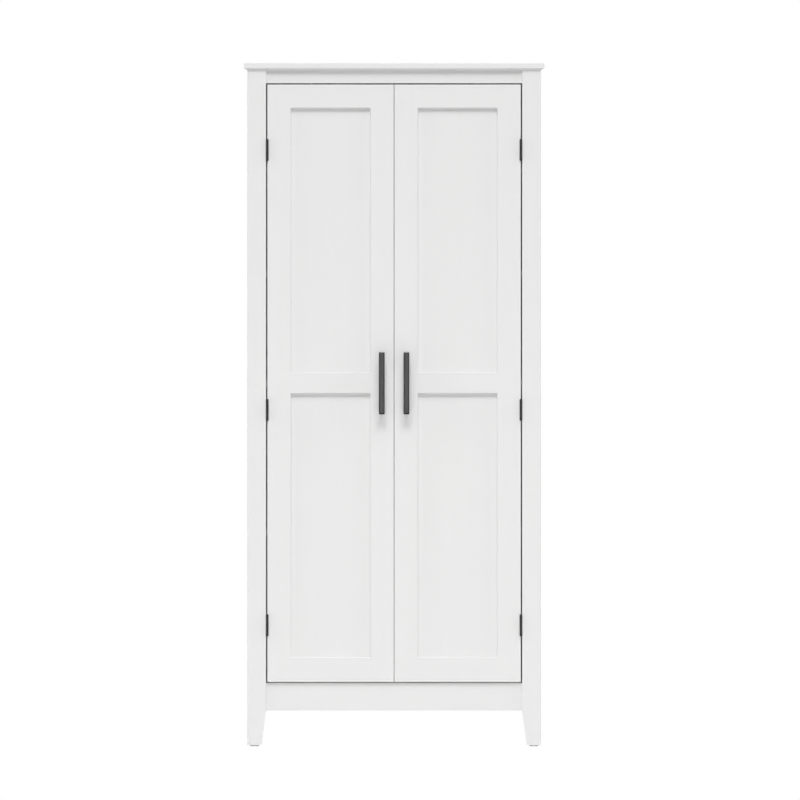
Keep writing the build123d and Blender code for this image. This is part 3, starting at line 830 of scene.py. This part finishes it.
def take_over(made: bpy.types.Object, body: str, slot: str, *nodes: str) -> None:
    """Puts a finished piece in place of some nodes.

    Args:
        made: The piece.
        body: The body that it moves with.
        slot: Not used.
        nodes: The nodes that it stands for.
    """
    smooth_curves(made)
    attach(made, body)
    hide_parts(*nodes)


# ---------------------------------------------------------------------------
# Sub-assemblies
# ---------------------------------------------------------------------------
@dataclass
class Carcass:
    """Posts, panels, rails, boards and back."""

    finishes: Finishes
    nodes: dict[str, bpy.types.Object]
    grains: dict[str, Grain] = field(default_factory=lambda: {
        "top_board": Grain.SIDEWAYS,
        "front_left_post": Grain.UPRIGHT,
        "front_right_post": Grain.UPRIGHT,
        "rear_left_post": Grain.UPRIGHT,
        "rear_right_post": Grain.UPRIGHT,
        "left_side_panel": Grain.UPRIGHT,
        "right_side_panel": Grain.UPRIGHT,
        "front_apron": Grain.SIDEWAYS,
        "front_top_rail": Grain.SIDEWAYS,
        "rear_top_rail": Grain.SIDEWAYS,
        "rear_bottom_rail": Grain.SIDEWAYS,
        "bottom_panel": Grain.SIDEWAYS,
        "fixed_shelf": Grain.SIDEWAYS,
        "adjustable_shelf_1": Grain.SIDEWAYS,
        "adjustable_shelf_2": Grain.SIDEWAYS,
        "adjustable_shelf_3": Grain.SIDEWAYS,
    })

    def build(self) -> None:
        """Dresses the boards."""
        for seed, (name, grain) in enumerate(self.grains.items()):
            dress(self.nodes[name], self.finishes.board(grain, seed))
        for name in ("back_panel_upper", "back_panel_lower"):
            dress(self.nodes[name], self.finishes.hardboard)


@dataclass
class Door:
    """One framed door with two flat panels."""

    finishes: Finishes
    nodes: dict[str, bpy.types.Object]
    side: str
    first_seed: int

    def build(self) -> None:
        """Dresses the stiles, rails and panels."""
        members = {
            "hinge_stile": Grain.UPRIGHT,
            "meeting_stile": Grain.UPRIGHT,
            "top_rail": Grain.SIDEWAYS,
            "mid_rail": Grain.SIDEWAYS,
            "bottom_rail": Grain.SIDEWAYS,
            "upper_panel": Grain.UPRIGHT,
            "lower_panel": Grain.UPRIGHT,
        }
        for seed, (name, grain) in enumerate(members.items(), self.first_seed):
            dress(self.nodes[f"{self.side}_door_{name}"], self.finishes.board(grain, seed))


@dataclass
class Hinges:
    """The three hinges of one door: leaves, pins and screws."""

    finishes: Finishes
    nodes: dict[str, bpy.types.Object]
    side: str
    screw: WoodScrew = WoodScrew(2.85 * MM, 1.4 * MM, 13.0 * MM, 1.2 * MM)

    def screws(self, leaf: str, body: str, inward: Vector, seed: int) -> None:
        """Sets screws in one leaf of each hinge.

        Args:
            leaf: "frame" or "door".
            body: The body that the leaf moves with.
            inward: The way that the screws point.
            seed: Seed for how far each screw is turned.
        """
        node = f"{self.side}_hinge_{leaf}_screws"
        places = []
        for solid in solids_of(self.nodes[node]):
            seat = solid.middle - inward * solid.size.x / 2
            places.append(Place(seat + inward * SEAT_GAP, inward))
        master = self.screw.build()
        made = Repeated(f"{self.side}_{leaf}_leaf_screws", master, self.finishes.black, places,
                        FULL_TURN, seed).build()
        bpy.data.objects.remove(master)
        take_over(made, body, "black_metal", node)

    def build(self) -> None:
        """Dresses the leaves and pins, and sets the screws."""
        outward = Vector((-1.0 if self.side == "left" else 1.0, 0.0, 0.0))
        self.screws("frame", "carcass", outward, 11)
        self.screws("door", f"{self.side}_door", -outward, 12)
        for part in ("hinge_frame_leaves", "hinge_door_leaves", "hinge_pins"):
            dress(self.nodes[f"{self.side}_{part}"], self.finishes.black)


@dataclass
class Handle:
    """A bar handle with bevelled ends on two legs."""

    finishes: Finishes
    nodes: dict[str, bpy.types.Object]
    side: str
    bar_thickness: float = 9.0 * MM
    side_bevel: float = 2.2 * MM
    end_bevel: float = 2.6 * MM
    edge_radius: float = 0.35 * MM
    leg_width: float = 10.0 * MM
    leg_height: float = 12.0 * MM
    foot_spread: float = 0.8 * MM
    leg_centres: float = 128.0 * MM
    head_height: float = 2.4 * MM
    bevelled_from: float = math.radians(10)
    screw: WoodScrew = WoodScrew(3.8 * MM, 2.0 * MM, 29.0 * MM, 0.9 * MM, domed=2.3 * MM)

    def bar(self, bm: bmesh.types.BMesh, low: Vector, high: Vector) -> None:
        """Adds the bar: a block whose front edges are bevelled all round.

        Args:
            bm: The mesh to add to.
            low: The node's lowest corner.
            high: The node's highest corner.
        """
        back = low.y + self.bar_thickness
        rows = (
            (back, 0.0, 0.0),
            (low.y + self.side_bevel, 0.0, 0.0),
            (low.y, self.side_bevel, self.end_bevel),
        )
        rings = []
        for y, inset_x, inset_z in rows:
            x0, x1 = low.x + inset_x, high.x - inset_x
            z0, z1 = low.z + inset_z, high.z - inset_z
            rings.append([bm.verts.new(c) for c in
                          ((x0, y, z0), (x1, y, z0), (x1, y, z1), (x0, y, z1))])
        for nearer, further in zip(rings, rings[1:]):
            for number in range(4):
                after = (number + 1) % 4
                bm.faces.new((nearer[number], nearer[after], further[after], further[number]))
        bm.faces.new(rings[-1])
        bm.faces.new(list(reversed(rings[0])))

    def leg(self, bm: bmesh.types.BMesh, middle_x: float, front: float, back: float,
            z: float) -> None:
        """Adds one leg, a little wider where it meets the door.

        Args:
            bm: The mesh to add to.
            middle_x: The leg's middle, across the handle.
            front: Where the leg meets the bar.
            back: Where the leg meets the door.
            z: The leg's height on the door.
        """
        sections = ((front - 0.4 * MM, 0.0), (back - 3.0 * MM, 0.0),
                    (back - 0.8 * MM, self.foot_spread * 0.6), (back, self.foot_spread))
        rings = []
        for y, spread in sections:
            half_x, half_z = self.leg_width / 2 + spread * 0.8, self.leg_height / 2 + spread
            rings.append([bm.verts.new((middle_x + sx * half_x, y, z + sz * half_z))
                          for sx, sz in ((-1, -1), (1, -1), (1, 1), (-1, 1))])
        for nearer, further in zip(rings, rings[1:]):
            for number in range(4):
                after = (number + 1) % 4
                bm.faces.new((nearer[number], nearer[after], further[after], further[number]))
        bm.faces.new(rings[-1])
        bm.faces.new(list(reversed(rings[0])))

    def build(self) -> None:
        """Makes the handle and its two screws."""
        node = f"{self.side}_handle"
        low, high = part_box(node)
        bm = bmesh.new()
        self.bar(bm, low, high)
        middle = (low + high) / 2
        for sign in (-1, 1):
            self.leg(bm, middle.x, low.y + self.bar_thickness, high.y,
                     middle.z + sign * self.leg_centres / 2)
        bmesh.ops.recalc_face_normals(bm, faces=bm.faces)
        edges = [e for e in bm.edges if e.calc_face_angle(0.0) > self.bevelled_from]
        bmesh.ops.bevel(bm, geom=edges, offset=self.edge_radius, segments=3, affect="EDGES",
                        profile=0.5)
        made = mesh_object(f"{self.side}_bar_handle", bm)
        made.data.materials.append(self.finishes.charcoal)
        take_over(made, f"{self.side}_door", "handle_metal", node)
        log.info("%s: bar handle", made.name)

        screws = f"{self.side}_handle_screws"
        forward = Vector((0.0, -1.0, 0.0))
        places = []
        for solid in solids_of(self.nodes[screws]):
            seat = Vector((solid.middle.x, solid.high.y - self.head_height, solid.middle.z))
            places.append(Place(seat, forward))
        master = self.screw.build()
        turned = Repeated(f"{self.side}_pull_screws", master, self.finishes.zinc, places,
                          FULL_TURN, 5).build()
        bpy.data.objects.remove(master)
        take_over(turned, f"{self.side}_door", "zinc", screws)


@dataclass
class Catches:
    """Two double magnetic catches and the plates that they hold."""

    finishes: Finishes
    nodes: dict[str, bpy.types.Object]
    ear_screw: WoodScrew = WoodScrew(2.85 * MM, 1.4 * MM, 12.0 * MM, 1.2 * MM)
    plate_screw: WoodScrew = WoodScrew(2.85 * MM, 1.4 * MM, 10.0 * MM, 1.2 * MM)
    ear_length: float = 12.0 * MM
    ear_height: float = 4.0 * MM
    ear_inset: float = 0.5 * MM
    ear_clearance: float = 0.1 * MM
    rim: float = 1.6 * MM
    rim_stand: float = 0.35 * MM
    rim_sink: float = 1.5 * MM
    pole_thickness: float = 1.6 * MM
    same_level: float = 0.03

    def bodies(self) -> None:
        """Makes the moulded bodies with their ears and raised rims round the magnets."""
        bm = bmesh.new()
        inset = Vector((0.0, self.ear_inset, self.ear_clearance))
        magnets = solids_of(self.nodes["catch_magnets"])
        for solid in solids_of(self.nodes["catch_bodies"]):
            near = [m for m in magnets if abs(m.middle.z - solid.middle.z) < solid.size.z]
            hangs = near[0].middle.z < solid.middle.z
            inner_low = solid.low + Vector((self.ear_length, 0.0, 0.0))
            inner_high = solid.high - Vector((self.ear_length, 0.0, 0.0))
            rounded_box(bm, inner_low, inner_high, 1.2 * MM, 3)
            ear_low, ear_high = solid.low + inset, solid.high - inset
            if hangs:
                ear_low.z = solid.high.z - self.ear_height
            else:
                ear_high.z = solid.low.z + self.ear_height
            rounded_box(bm, ear_low, ear_high, 0.8 * MM, 2)
            for magnet in near:
                low = Vector((magnet.low.x - self.rim, solid.low.y - self.rim_stand,
                              magnet.low.z - self.rim))
                high = Vector((magnet.high.x + self.rim, solid.low.y + self.rim_sink,
                               magnet.high.z + self.rim))
                rounded_box(bm, low, high, 0.3 * MM, 2)
        made = mesh_object("magnetic_catch_bodies", bm)
        made.data.materials.append(self.finishes.catch_white)
        take_over(made, "carcass", "catch_plastic", "catch_bodies")
        log.info("%s: 2 pieces", made.name)

    def magnets(self) -> None:
        """Makes each magnet as two pole plates round a block."""
        bm = bmesh.new()
        plate = self.pole_thickness
        for solid in solids_of(self.nodes["catch_magnets"]):
            for low_z, high_z in ((solid.low.z, solid.low.z + plate),
                                  (solid.high.z - plate, solid.high.z)):
                rounded_box(bm, Vector((solid.low.x, solid.low.y, low_z)),
                            Vector((solid.high.x, solid.high.y, high_z)), 0.2 * MM, 2)
            rounded_box(bm, solid.low + Vector((0.3 * MM, 0.5 * MM, plate * 0.9)),
                        solid.high - Vector((0.3 * MM, 0.0, plate * 0.9)), 0.2 * MM, 2)
        made = mesh_object("catch_pole_plates", bm)
        made.data.materials.append(self.finishes.steel)
        take_over(made, "carcass", "steel", "catch_magnets")

    def set_screws(self, screw: WoodScrew, node: str, name: str, body: str, axis: Vector,
                   seed: int) -> None:
        """Sets the screws of one group.

        Args:
            screw: The screw that is repeated.
            node: The node that they stand for.
            name: The new piece's name.
            body: The body that they move with.
            axis: The way that they point; for the catches, up or down by their place.
            seed: Seed for how far each screw is turned.
        """
        places = []
        shelf_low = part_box("fixed_shelf")[0].z
        for solid in solids_of(self.nodes[node]):
            way = axis
            if axis.z:
                under_shelf = abs(solid.high.z - shelf_low) < self.same_level
                way = Vector((0.0, 0.0, 1.0 if under_shelf else -1.0))
            half = Vector([abs(way[i]) * solid.size[i] / 2 for i in range(3)])
            seat = solid.middle - Vector([way[i] * half[i] for i in range(3)])
            places.append(Place(seat + way * SEAT_GAP, way, Vector((1.0, 0.0, 0.0))))
        master = screw.build()
        made = Repeated(name, master, self.finishes.zinc, places, FULL_TURN, seed).build()
        bpy.data.objects.remove(master)
        take_over(made, body, "zinc", node)

    def build(self) -> None:
        """Makes the catches, and dresses the strike plates."""
        self.bodies()
        self.magnets()
        self.set_screws(self.ear_screw, "catch_screws", "catch_ear_screws", "carcass",
                        Vector((0.0, 0.0, 1.0)), 21)
        for seed, side in enumerate(("left", "right"), 22):
            dress(self.nodes[f"{side}_strike_plates"], self.finishes.steel)
            self.set_screws(self.plate_screw, f"{side}_strike_screws", f"{side}_plate_screws",
                            f"{side}_door", Vector((0.0, -1.0, 0.0)), seed)


@dataclass
class Fixings:
    """Shelf pins, cams, bolts, dowels, brads and glides."""

    finishes: Finishes
    nodes: dict[str, bpy.types.Object]
    pin_radius: float = 2.45 * MM
    pin_hole: float = 9.5 * MM
    collar_radius: float = 4.0 * MM
    collar: float = 1.5 * MM
    tongue: tuple[float, float, float] = (8.0 * MM, 10.0 * MM, 2.0 * MM)
    cam_radius: float = 7.5 * MM
    cam_depth: float = 12.4 * MM
    cam_longest: float = 13.5 * MM
    flutes: int = 18
    brad_head: float = 0.8 * MM
    seed: int = 31

    def pin_master(self) -> bpy.types.Object:
        """A shelf pin along +Z, its tongue flat across local X.

        Returns:
            One piece, to be repeated.
        """
        bm = bmesh.new()
        r, c = self.pin_radius, self.collar_radius
        outline = [(0.0, r * 0.82), (0.4 * MM, r), (self.pin_hole, r), (self.pin_hole, c * 0.96),
                   (self.pin_hole + 0.3 * MM, c), (self.pin_hole + self.collar - 0.3 * MM, c),
                   (self.pin_hole + self.collar, c * 0.94)]
        lathe(bm, outline, 28)
        start = self.pin_hole + self.collar - 0.3 * MM
        length, width, thickness = self.tongue
        steps = 8
        edge = [(start, -width / 2)]
        nose = width / 2
        for number in range(steps + 1):
            angle = -math.pi / 2 + math.pi * number / steps
            edge.append((start + length + 0.3 * MM - nose * 0.5 + nose * 0.5 * math.cos(angle),
                         width / 2 * math.sin(angle)))
        edge.append((start, width / 2))
        sheets = [[bm.verts.new((x, y, z)) for z, y in edge]
                  for x in (thickness / 2, -thickness / 2)]
        bm.faces.new(sheets[0])
        bm.faces.new(list(reversed(sheets[1])))
        for number in range(len(edge)):
            after = (number + 1) % len(edge)
            bm.faces.new((sheets[0][after], sheets[0][number], sheets[1][number], sheets[1][after]))
        return mesh_object("pin_master", bm)

    def cam_master(self) -> bpy.types.Object:
        """A cam at Z = 0, going down along +Z, with its bolt's slot towards +X.

        Returns:
            One piece, to be repeated.
        """
        r, depth = self.cam_radius, self.cam_depth
        bm = bmesh.new()
        outline = [(0.0, r * 0.93), (0.25 * MM, r * 0.985), (1.2 * MM, r * 0.985),
                   (1.3 * MM, r * 0.95), (2.0 * MM, r * 0.95), (2.1 * MM, r), (depth, r)]
        lathe(bm, outline, 40)
        cam = mesh_object("cam_master", bm)
        slot = bmesh.new()
        rounded_box(slot, Vector((-1.0 * MM, -3.8 * MM, 4.2 * MM)),
                    Vector((9.0 * MM, 3.8 * MM, 11.8 * MM)), 0.5 * MM)
        carve(cam, mesh_object("slot_tool", slot))
        cross = cross_tool(8.6 * MM, 1.7 * MM, 3.4 * MM)
        cross.data.transform(Matrix.Rotation(math.pi, 4, "X"))
        carve(cam, cross)
        return cam

    def bolt_master(self) -> bpy.types.Object:
        """A cam bolt along +Z, from its thread to its head.

        Returns:
            One piece, to be repeated.
        """
        pitch, thread_end = 2.2 * MM, 10.5 * MM

        def ridge(radius: float, height: float, angle: float) -> float:
            """The radius on the coarse wood thread."""
            if height > thread_end - 1.0 * MM or height < 1.0 * MM:
                return radius
            phase = (height / pitch - angle / FULL_TURN) % 1.0
            return radius * (0.74 + 0.26 * max(0.0, 1.0 - abs(phase - 0.5) * 4.0))

        r = 2.9 * MM
        rows = [(n * thread_end / 24, r) for n in range(1, 25)]
        outline = [(0.0, r * 0.5), *rows, (thread_end, 3.4 * MM),
                   (thread_end + 1.0 * MM, 3.4 * MM), (thread_end + 1.0 * MM, r), (28.0 * MM, r),
                   (28.0 * MM, 1.9 * MM), (33.0 * MM, 1.9 * MM), (33.0 * MM, 2.9 * MM),
                   (33.5 * MM, 3.2 * MM), (35.6 * MM, 3.2 * MM), (36.0 * MM, 2.8 * MM)]
        bm = bmesh.new()
        lathe(bm, outline, 20, ridge)
        return mesh_object("bolt_master", bm)

    def dowel_master(self) -> bpy.types.Object:
        """A fluted dowel along +Z, with bevelled ends.

        Returns:
            One piece, to be repeated.
        """
        length, r = 25.0 * MM, 3.0 * MM

        def flute(radius: float, height: float, angle: float) -> float:
            """The radius between and on the flutes."""
            if height < 1.2 * MM or height > length - 1.2 * MM:
                return radius
            return radius * (1.0 - 0.05 * (math.cos(angle * self.flutes) < -0.2))

        outline = [(0.0, r * 0.7), (1.2 * MM, r), (1.3 * MM, r), (length - 1.3 * MM, r),
                   (length - 1.2 * MM, r), (length, r * 0.7)]
        bm = bmesh.new()
        lathe(bm, outline, self.flutes * 4, flute)
        return mesh_object("dowel_master", bm)

    def brad_master(self) -> bpy.types.Object:
        """A brad along +Z, its head's underside at Z = 0."""
        bm = bmesh.new()
        outline = [(-self.brad_head, 1.5 * MM), (-0.7 * MM, 2.1 * MM), (-0.45 * MM, 2.4 * MM),
                   (0.0, 2.35 * MM), (0.0, 0.8 * MM), (14.4 * MM, 0.8 * MM),
                   (16.0 * MM, 0.08 * MM)]
        lathe(bm, outline, 16)
        return mesh_object("brad_master", bm)

    def glide_master(self) -> bpy.types.Object:
        """A nail-on glide, standing on Z = 0, with its nail along +Z."""
        bm = bmesh.new()
        outline = [(0.0, 8.6 * MM), (0.25 * MM, 9.6 * MM), (0.7 * MM, 10.2 * MM),
                   (1.3 * MM, 10.5 * MM), (2.0 * MM, 10.5 * MM), (2.0 * MM, 1.2 * MM),
                   (15.0 * MM, 1.2 * MM), (16.0 * MM, 0.1 * MM)]
        lathe(bm, outline, 32)
        return mesh_object("glide_master", bm)

    def set_out(self, node: str, name: str, slot: str, master: bpy.types.Object,
                material: bpy.types.Material, place: Callable[[Solid], Place],
                turn: float = 0.0) -> None:
        """Sets one kind of fixing out in place of its node.

        Args:
            node: The node that it stands for.
            name: The new piece's name.
            slot: Its material slot.
            master: The piece that is repeated, which is removed.
            material: Its finish.
            place: Works out the place of each piece from its solid's box.
            turn: The most that each piece is turned about its own axis.
        """
        places = [place(solid) for solid in solids_of(self.nodes[node])]
        made = Repeated(name, master, material, places, turn, self.seed).build()
        bpy.data.objects.remove(master)
        take_over(made, "carcass", slot, node)

    def pin_place(self, solid: Solid) -> Place:
        """A shelf pin starts in the side panel and points at the middle.

        Args:
            solid: The box of the solid that it stands for.

        Returns:
            Its place.
        """
        inward = -math.copysign(1.0, solid.middle.x)
        start = solid.low.x if inward > 0 else solid.high.x
        return Place(Vector((start, solid.middle.y, solid.middle.z)), Vector((inward, 0.0, 0.0)))

    def cam_place(self, solid: Solid) -> Place:
        """A cam starts at the open face of its bore, with its slot towards the joint.

        Args:
            solid: The box of the solid that it stands for.

        Returns:
            Its place.
        """
        size, middle = solid.size, solid.middle
        axis = min(range(3), key=lambda i: (
            abs(size[i] - self.cam_depth) if size[i] < self.cam_longest else 1.0))
        outward_x = math.copysign(1.0, middle.x)
        if axis == 2:
            return Place(Vector((middle.x, middle.y, solid.low.z)), Vector((0, 0, 1)),
                         Vector((outward_x, 0, 0)))
        if axis == 0:
            start = solid.low.x if outward_x > 0 else solid.high.x
            return Place(Vector((start, middle.y, middle.z)), Vector((outward_x, 0, 0)),
                         Vector((0, 0, 1)))
        forward = middle.y < 0
        start = solid.high.y if forward else solid.low.y
        way = Vector((0, -1.0 if forward else 1.0, 0))
        return Place(Vector((middle.x, start, middle.z)), way, Vector((outward_x, 0, 0)))

    def bolt_place(self, solid: Solid) -> Place:
        """A cam bolt starts at its threaded end, which is further from the middle or higher.

        Args:
            solid: The box of the solid that it stands for.

        Returns:
            Its place.
        """
        size, middle = solid.size, solid.middle
        if size.x > size.z:
            outward = math.copysign(1.0, middle.x)
            start = solid.high.x if outward > 0 else solid.low.x
            return Place(Vector((start, middle.y, middle.z)), Vector((-outward, 0, 0)))
        return Place(Vector((middle.x, middle.y, solid.high.z)), Vector((0, 0, -1)),
                     Vector((1, 0, 0)))

    @staticmethod
    def dowel_place(solid: Solid) -> Place:
        """A dowel lies along its longest side.

        Args:
            solid: The box of the solid that it stands for.

        Returns:
            Its place.
        """
        size = solid.size
        axis = max(range(3), key=lambda i: size[i])
        start = solid.middle.copy()
        start[axis] = solid.low[axis]
        way = Vector([1.0 if i == axis else 0.0 for i in range(3)])
        return Place(start, way, Vector((1, 0, 0)) if axis == 2 else Vector((0, 0, 1)))

    def build(self) -> None:
        """Sets out every fixing of the carcass."""
        zinc = self.finishes.zinc
        self.set_out("shelf_pins", "spoon_shelf_pins", "zinc", self.pin_master(), zinc,
                     self.pin_place)
        self.set_out("cam_locks", "cam_discs", "zinc", self.cam_master(), zinc, self.cam_place)
        self.set_out("cam_bolts", "cam_connecting_bolts", "zinc", self.bolt_master(), zinc,
                     self.bolt_place)
        self.set_out("wood_dowels", "fluted_dowels", "beech", self.dowel_master(),
                     self.finishes.beech, self.dowel_place)
        self.set_out("back_panel_brads", "panel_brads", "zinc", self.brad_master(), zinc,
                     lambda s: Place(Vector((s.middle.x, s.high.y - self.brad_head, s.middle.z)),
                                     Vector((0, -1, 0))))
        self.set_out("leg_glides", "foot_glides", "glide_plastic", self.glide_master(),
                     self.finishes.nylon,
                     lambda s: Place(Vector((s.middle.x, s.middle.y, s.low.z)),
                                     Vector((0, 0, 1)), Vector((1, 0, 0))))


# ---------------------------------------------------------------------------
# Studio
# ---------------------------------------------------------------------------
@dataclass
class Softbox:
    """One large soft light, aimed at the middle of the object."""

    name: str
    azimuth: float
    elevation: float
    distance: float
    width: float
    height: float
    radiance: float

    def build(self, target: Vector) -> None:
        """Hangs the light and aims it.

        Args:
            target: The place that the light is aimed at.
        """
        turn, rise = math.radians(self.azimuth), math.radians(self.elevation)
        away = Vector((math.sin(turn) * math.cos(rise), -math.cos(turn) * math.cos(rise),
                       math.sin(rise)))
        data = bpy.data.lights.new(self.name, "AREA")
        data.shape = "RECTANGLE"
        data.size, data.size_y = self.width, self.height
        data.energy = self.radiance * math.pi * self.width * self.height
        lamp = bpy.data.objects.new(self.name, data)
        bpy.context.scene.collection.objects.link(lamp)
        lamp.location = target + away * self.distance
        lamp.rotation_euler = away.to_track_quat("Z", "Y").to_euler()
        lamp.visible_camera = False


@dataclass
class Studio:
    """Pale floor, white surround, soft light and the camera."""

    low: Vector
    high: Vector
    view_width: float = 1.9626
    view_height: float = 0.84915
    view_side: float = 0.0145
    camera_distance: float = 12.0
    surround_level: float = 0.05
    ground_level: float = 0.01
    floor_seen: float = 0.90
    floor_bounce: float = 0.70
    floor_radius: float = 7.0
    fade_from: float = 1.2
    fade_to: float = 4.5
    softboxes: tuple[Softbox, ...] = (
        Softbox("key_bank", 0.0, 51.0, 20.0, 12.0, 5.6, 11.1),
        Softbox("key_top", 0.0, 66.0, 20.0, 14.0, 3.5, 3.1),
        Softbox("front_bank", 0.0, 0.0, 6.0, 2.4, 1.36, 6.6),
        Softbox("left_bank", -84.0, 25.0, 16.0, 10.0, 10.0, 3.3),
        Softbox("right_bank", 84.0, 25.0, 16.0, 10.0, 10.0, 3.3),
        Softbox("rear_bank", 180.0, 30.0, 18.0, 14.0, 9.0, 3.8),
    )

    def floor(self) -> None:
        """A wide pale floor that fades into the white round it, and bounces less than it shows."""
        material, graph, shader = shaded("studio_floor")
        place = graph.add("ShaderNodeTexCoord").outputs["Object"]
        far = graph.add("ShaderNodeVectorMath", {0: place}, operation="LENGTH").outputs["Value"]
        fade = graph.remap(far, self.fade_from, self.fade_to, 0.0, 1.0)
        seen = graph.add("ShaderNodeLightPath").outputs["Is Camera Ray"]
        tone = graph.tint(seen, grey(self.floor_bounce), grey(self.floor_seen))
        graph.tree.links.new(tone, shader.inputs["Base Color"])
        shader.inputs["Roughness"].default_value = 0.8
        strength = graph.remap(seen, 0.0, 1.0, self.floor_bounce, 1.0)
        glow = graph.add("ShaderNodeEmission", {"Color": grey(1.0), "Strength": strength})
        mixed = graph.add("ShaderNodeMixShader", {
            0: fade, 1: shader.outputs["BSDF"], 2: glow.outputs["Emission"]})
        output = material.node_tree.nodes["Material Output"]
        graph.tree.links.new(mixed.outputs["Shader"], output.inputs["Surface"])
        bm = bmesh.new()
        bmesh.ops.create_circle(bm, cap_ends=True, segments=64, radius=self.floor_radius)
        floor = mesh_object("studio_floor", bm)
        floor.data.materials.append(material)
        floor.visible_glossy = False
        floor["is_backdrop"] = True

    def world(self) -> None:
        """White to the eye; as light, a dim surround over a dark ground."""
        world = bpy.data.worlds.new("white_surround")
        bpy.context.scene.world = world
        world.use_nodes = True
        graph = Graph(world.node_tree)
        way = graph.add("ShaderNodeTexCoord").outputs["Generated"]
        rise = graph.add("ShaderNodeSeparateXYZ", {"Vector": way}).outputs["Z"]
        level = graph.remap(rise, -0.02, 0.02, self.ground_level, self.surround_level)
        seen = graph.add("ShaderNodeLightPath").outputs["Is Camera Ray"]
        background = world.node_tree.nodes["Background"]
        background.inputs["Color"].default_value = grey(1.0)
        graph.tree.links.new(graph.maths("MAXIMUM", seen, level), background.inputs["Strength"])

    def camera(self) -> None:
        """A level camera square to the doors, with no perspective."""
        data = bpy.data.cameras.new("camera")
        data.type = "ORTHO"
        data.ortho_scale = self.view_width
        data.clip_end = 100.0
        camera = bpy.data.objects.new("camera", data)
        bpy.context.scene.collection.objects.link(camera)
        camera.location = (self.view_side, -self.camera_distance, self.view_height)
        camera.rotation_euler = (math.pi / 2, 0.0, 0.0)
        bpy.context.scene.camera = camera

    def build(self) -> None:
        """Sets the whole studio up."""
        target = (self.low + self.high) / 2
        self.floor()
        self.world()
        self.camera()
        for softbox in self.softboxes:
            softbox.build(target)
        bpy.context.scene.view_settings.view_transform = "Standard"
        bpy.context.scene.view_settings.look = "None"
        log.info("studio: %d softboxes", len(self.softboxes))


def main() -> None:
    """Builds the cabinet's looks and the studio, in order."""
    logging.basicConfig(level=logging.INFO, format="%(name)s: %(message)s")
    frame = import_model()
    low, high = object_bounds()
    nodes = frame["nodes"]
    finishes = Finishes()
    Carcass(finishes, nodes).build()
    for number, side in enumerate(("left", "right")):
        Door(finishes, nodes, side, FIRST_DOOR_SEED + SEEDS_PER_DOOR * number).build()
        Hinges(finishes, nodes, side).build()
        Handle(finishes, nodes, side).build()
    Catches(finishes, nodes).build()
    Fixings(finishes, nodes).build()
    Studio(low, high).build()


if __name__ == "__main__":
    main()
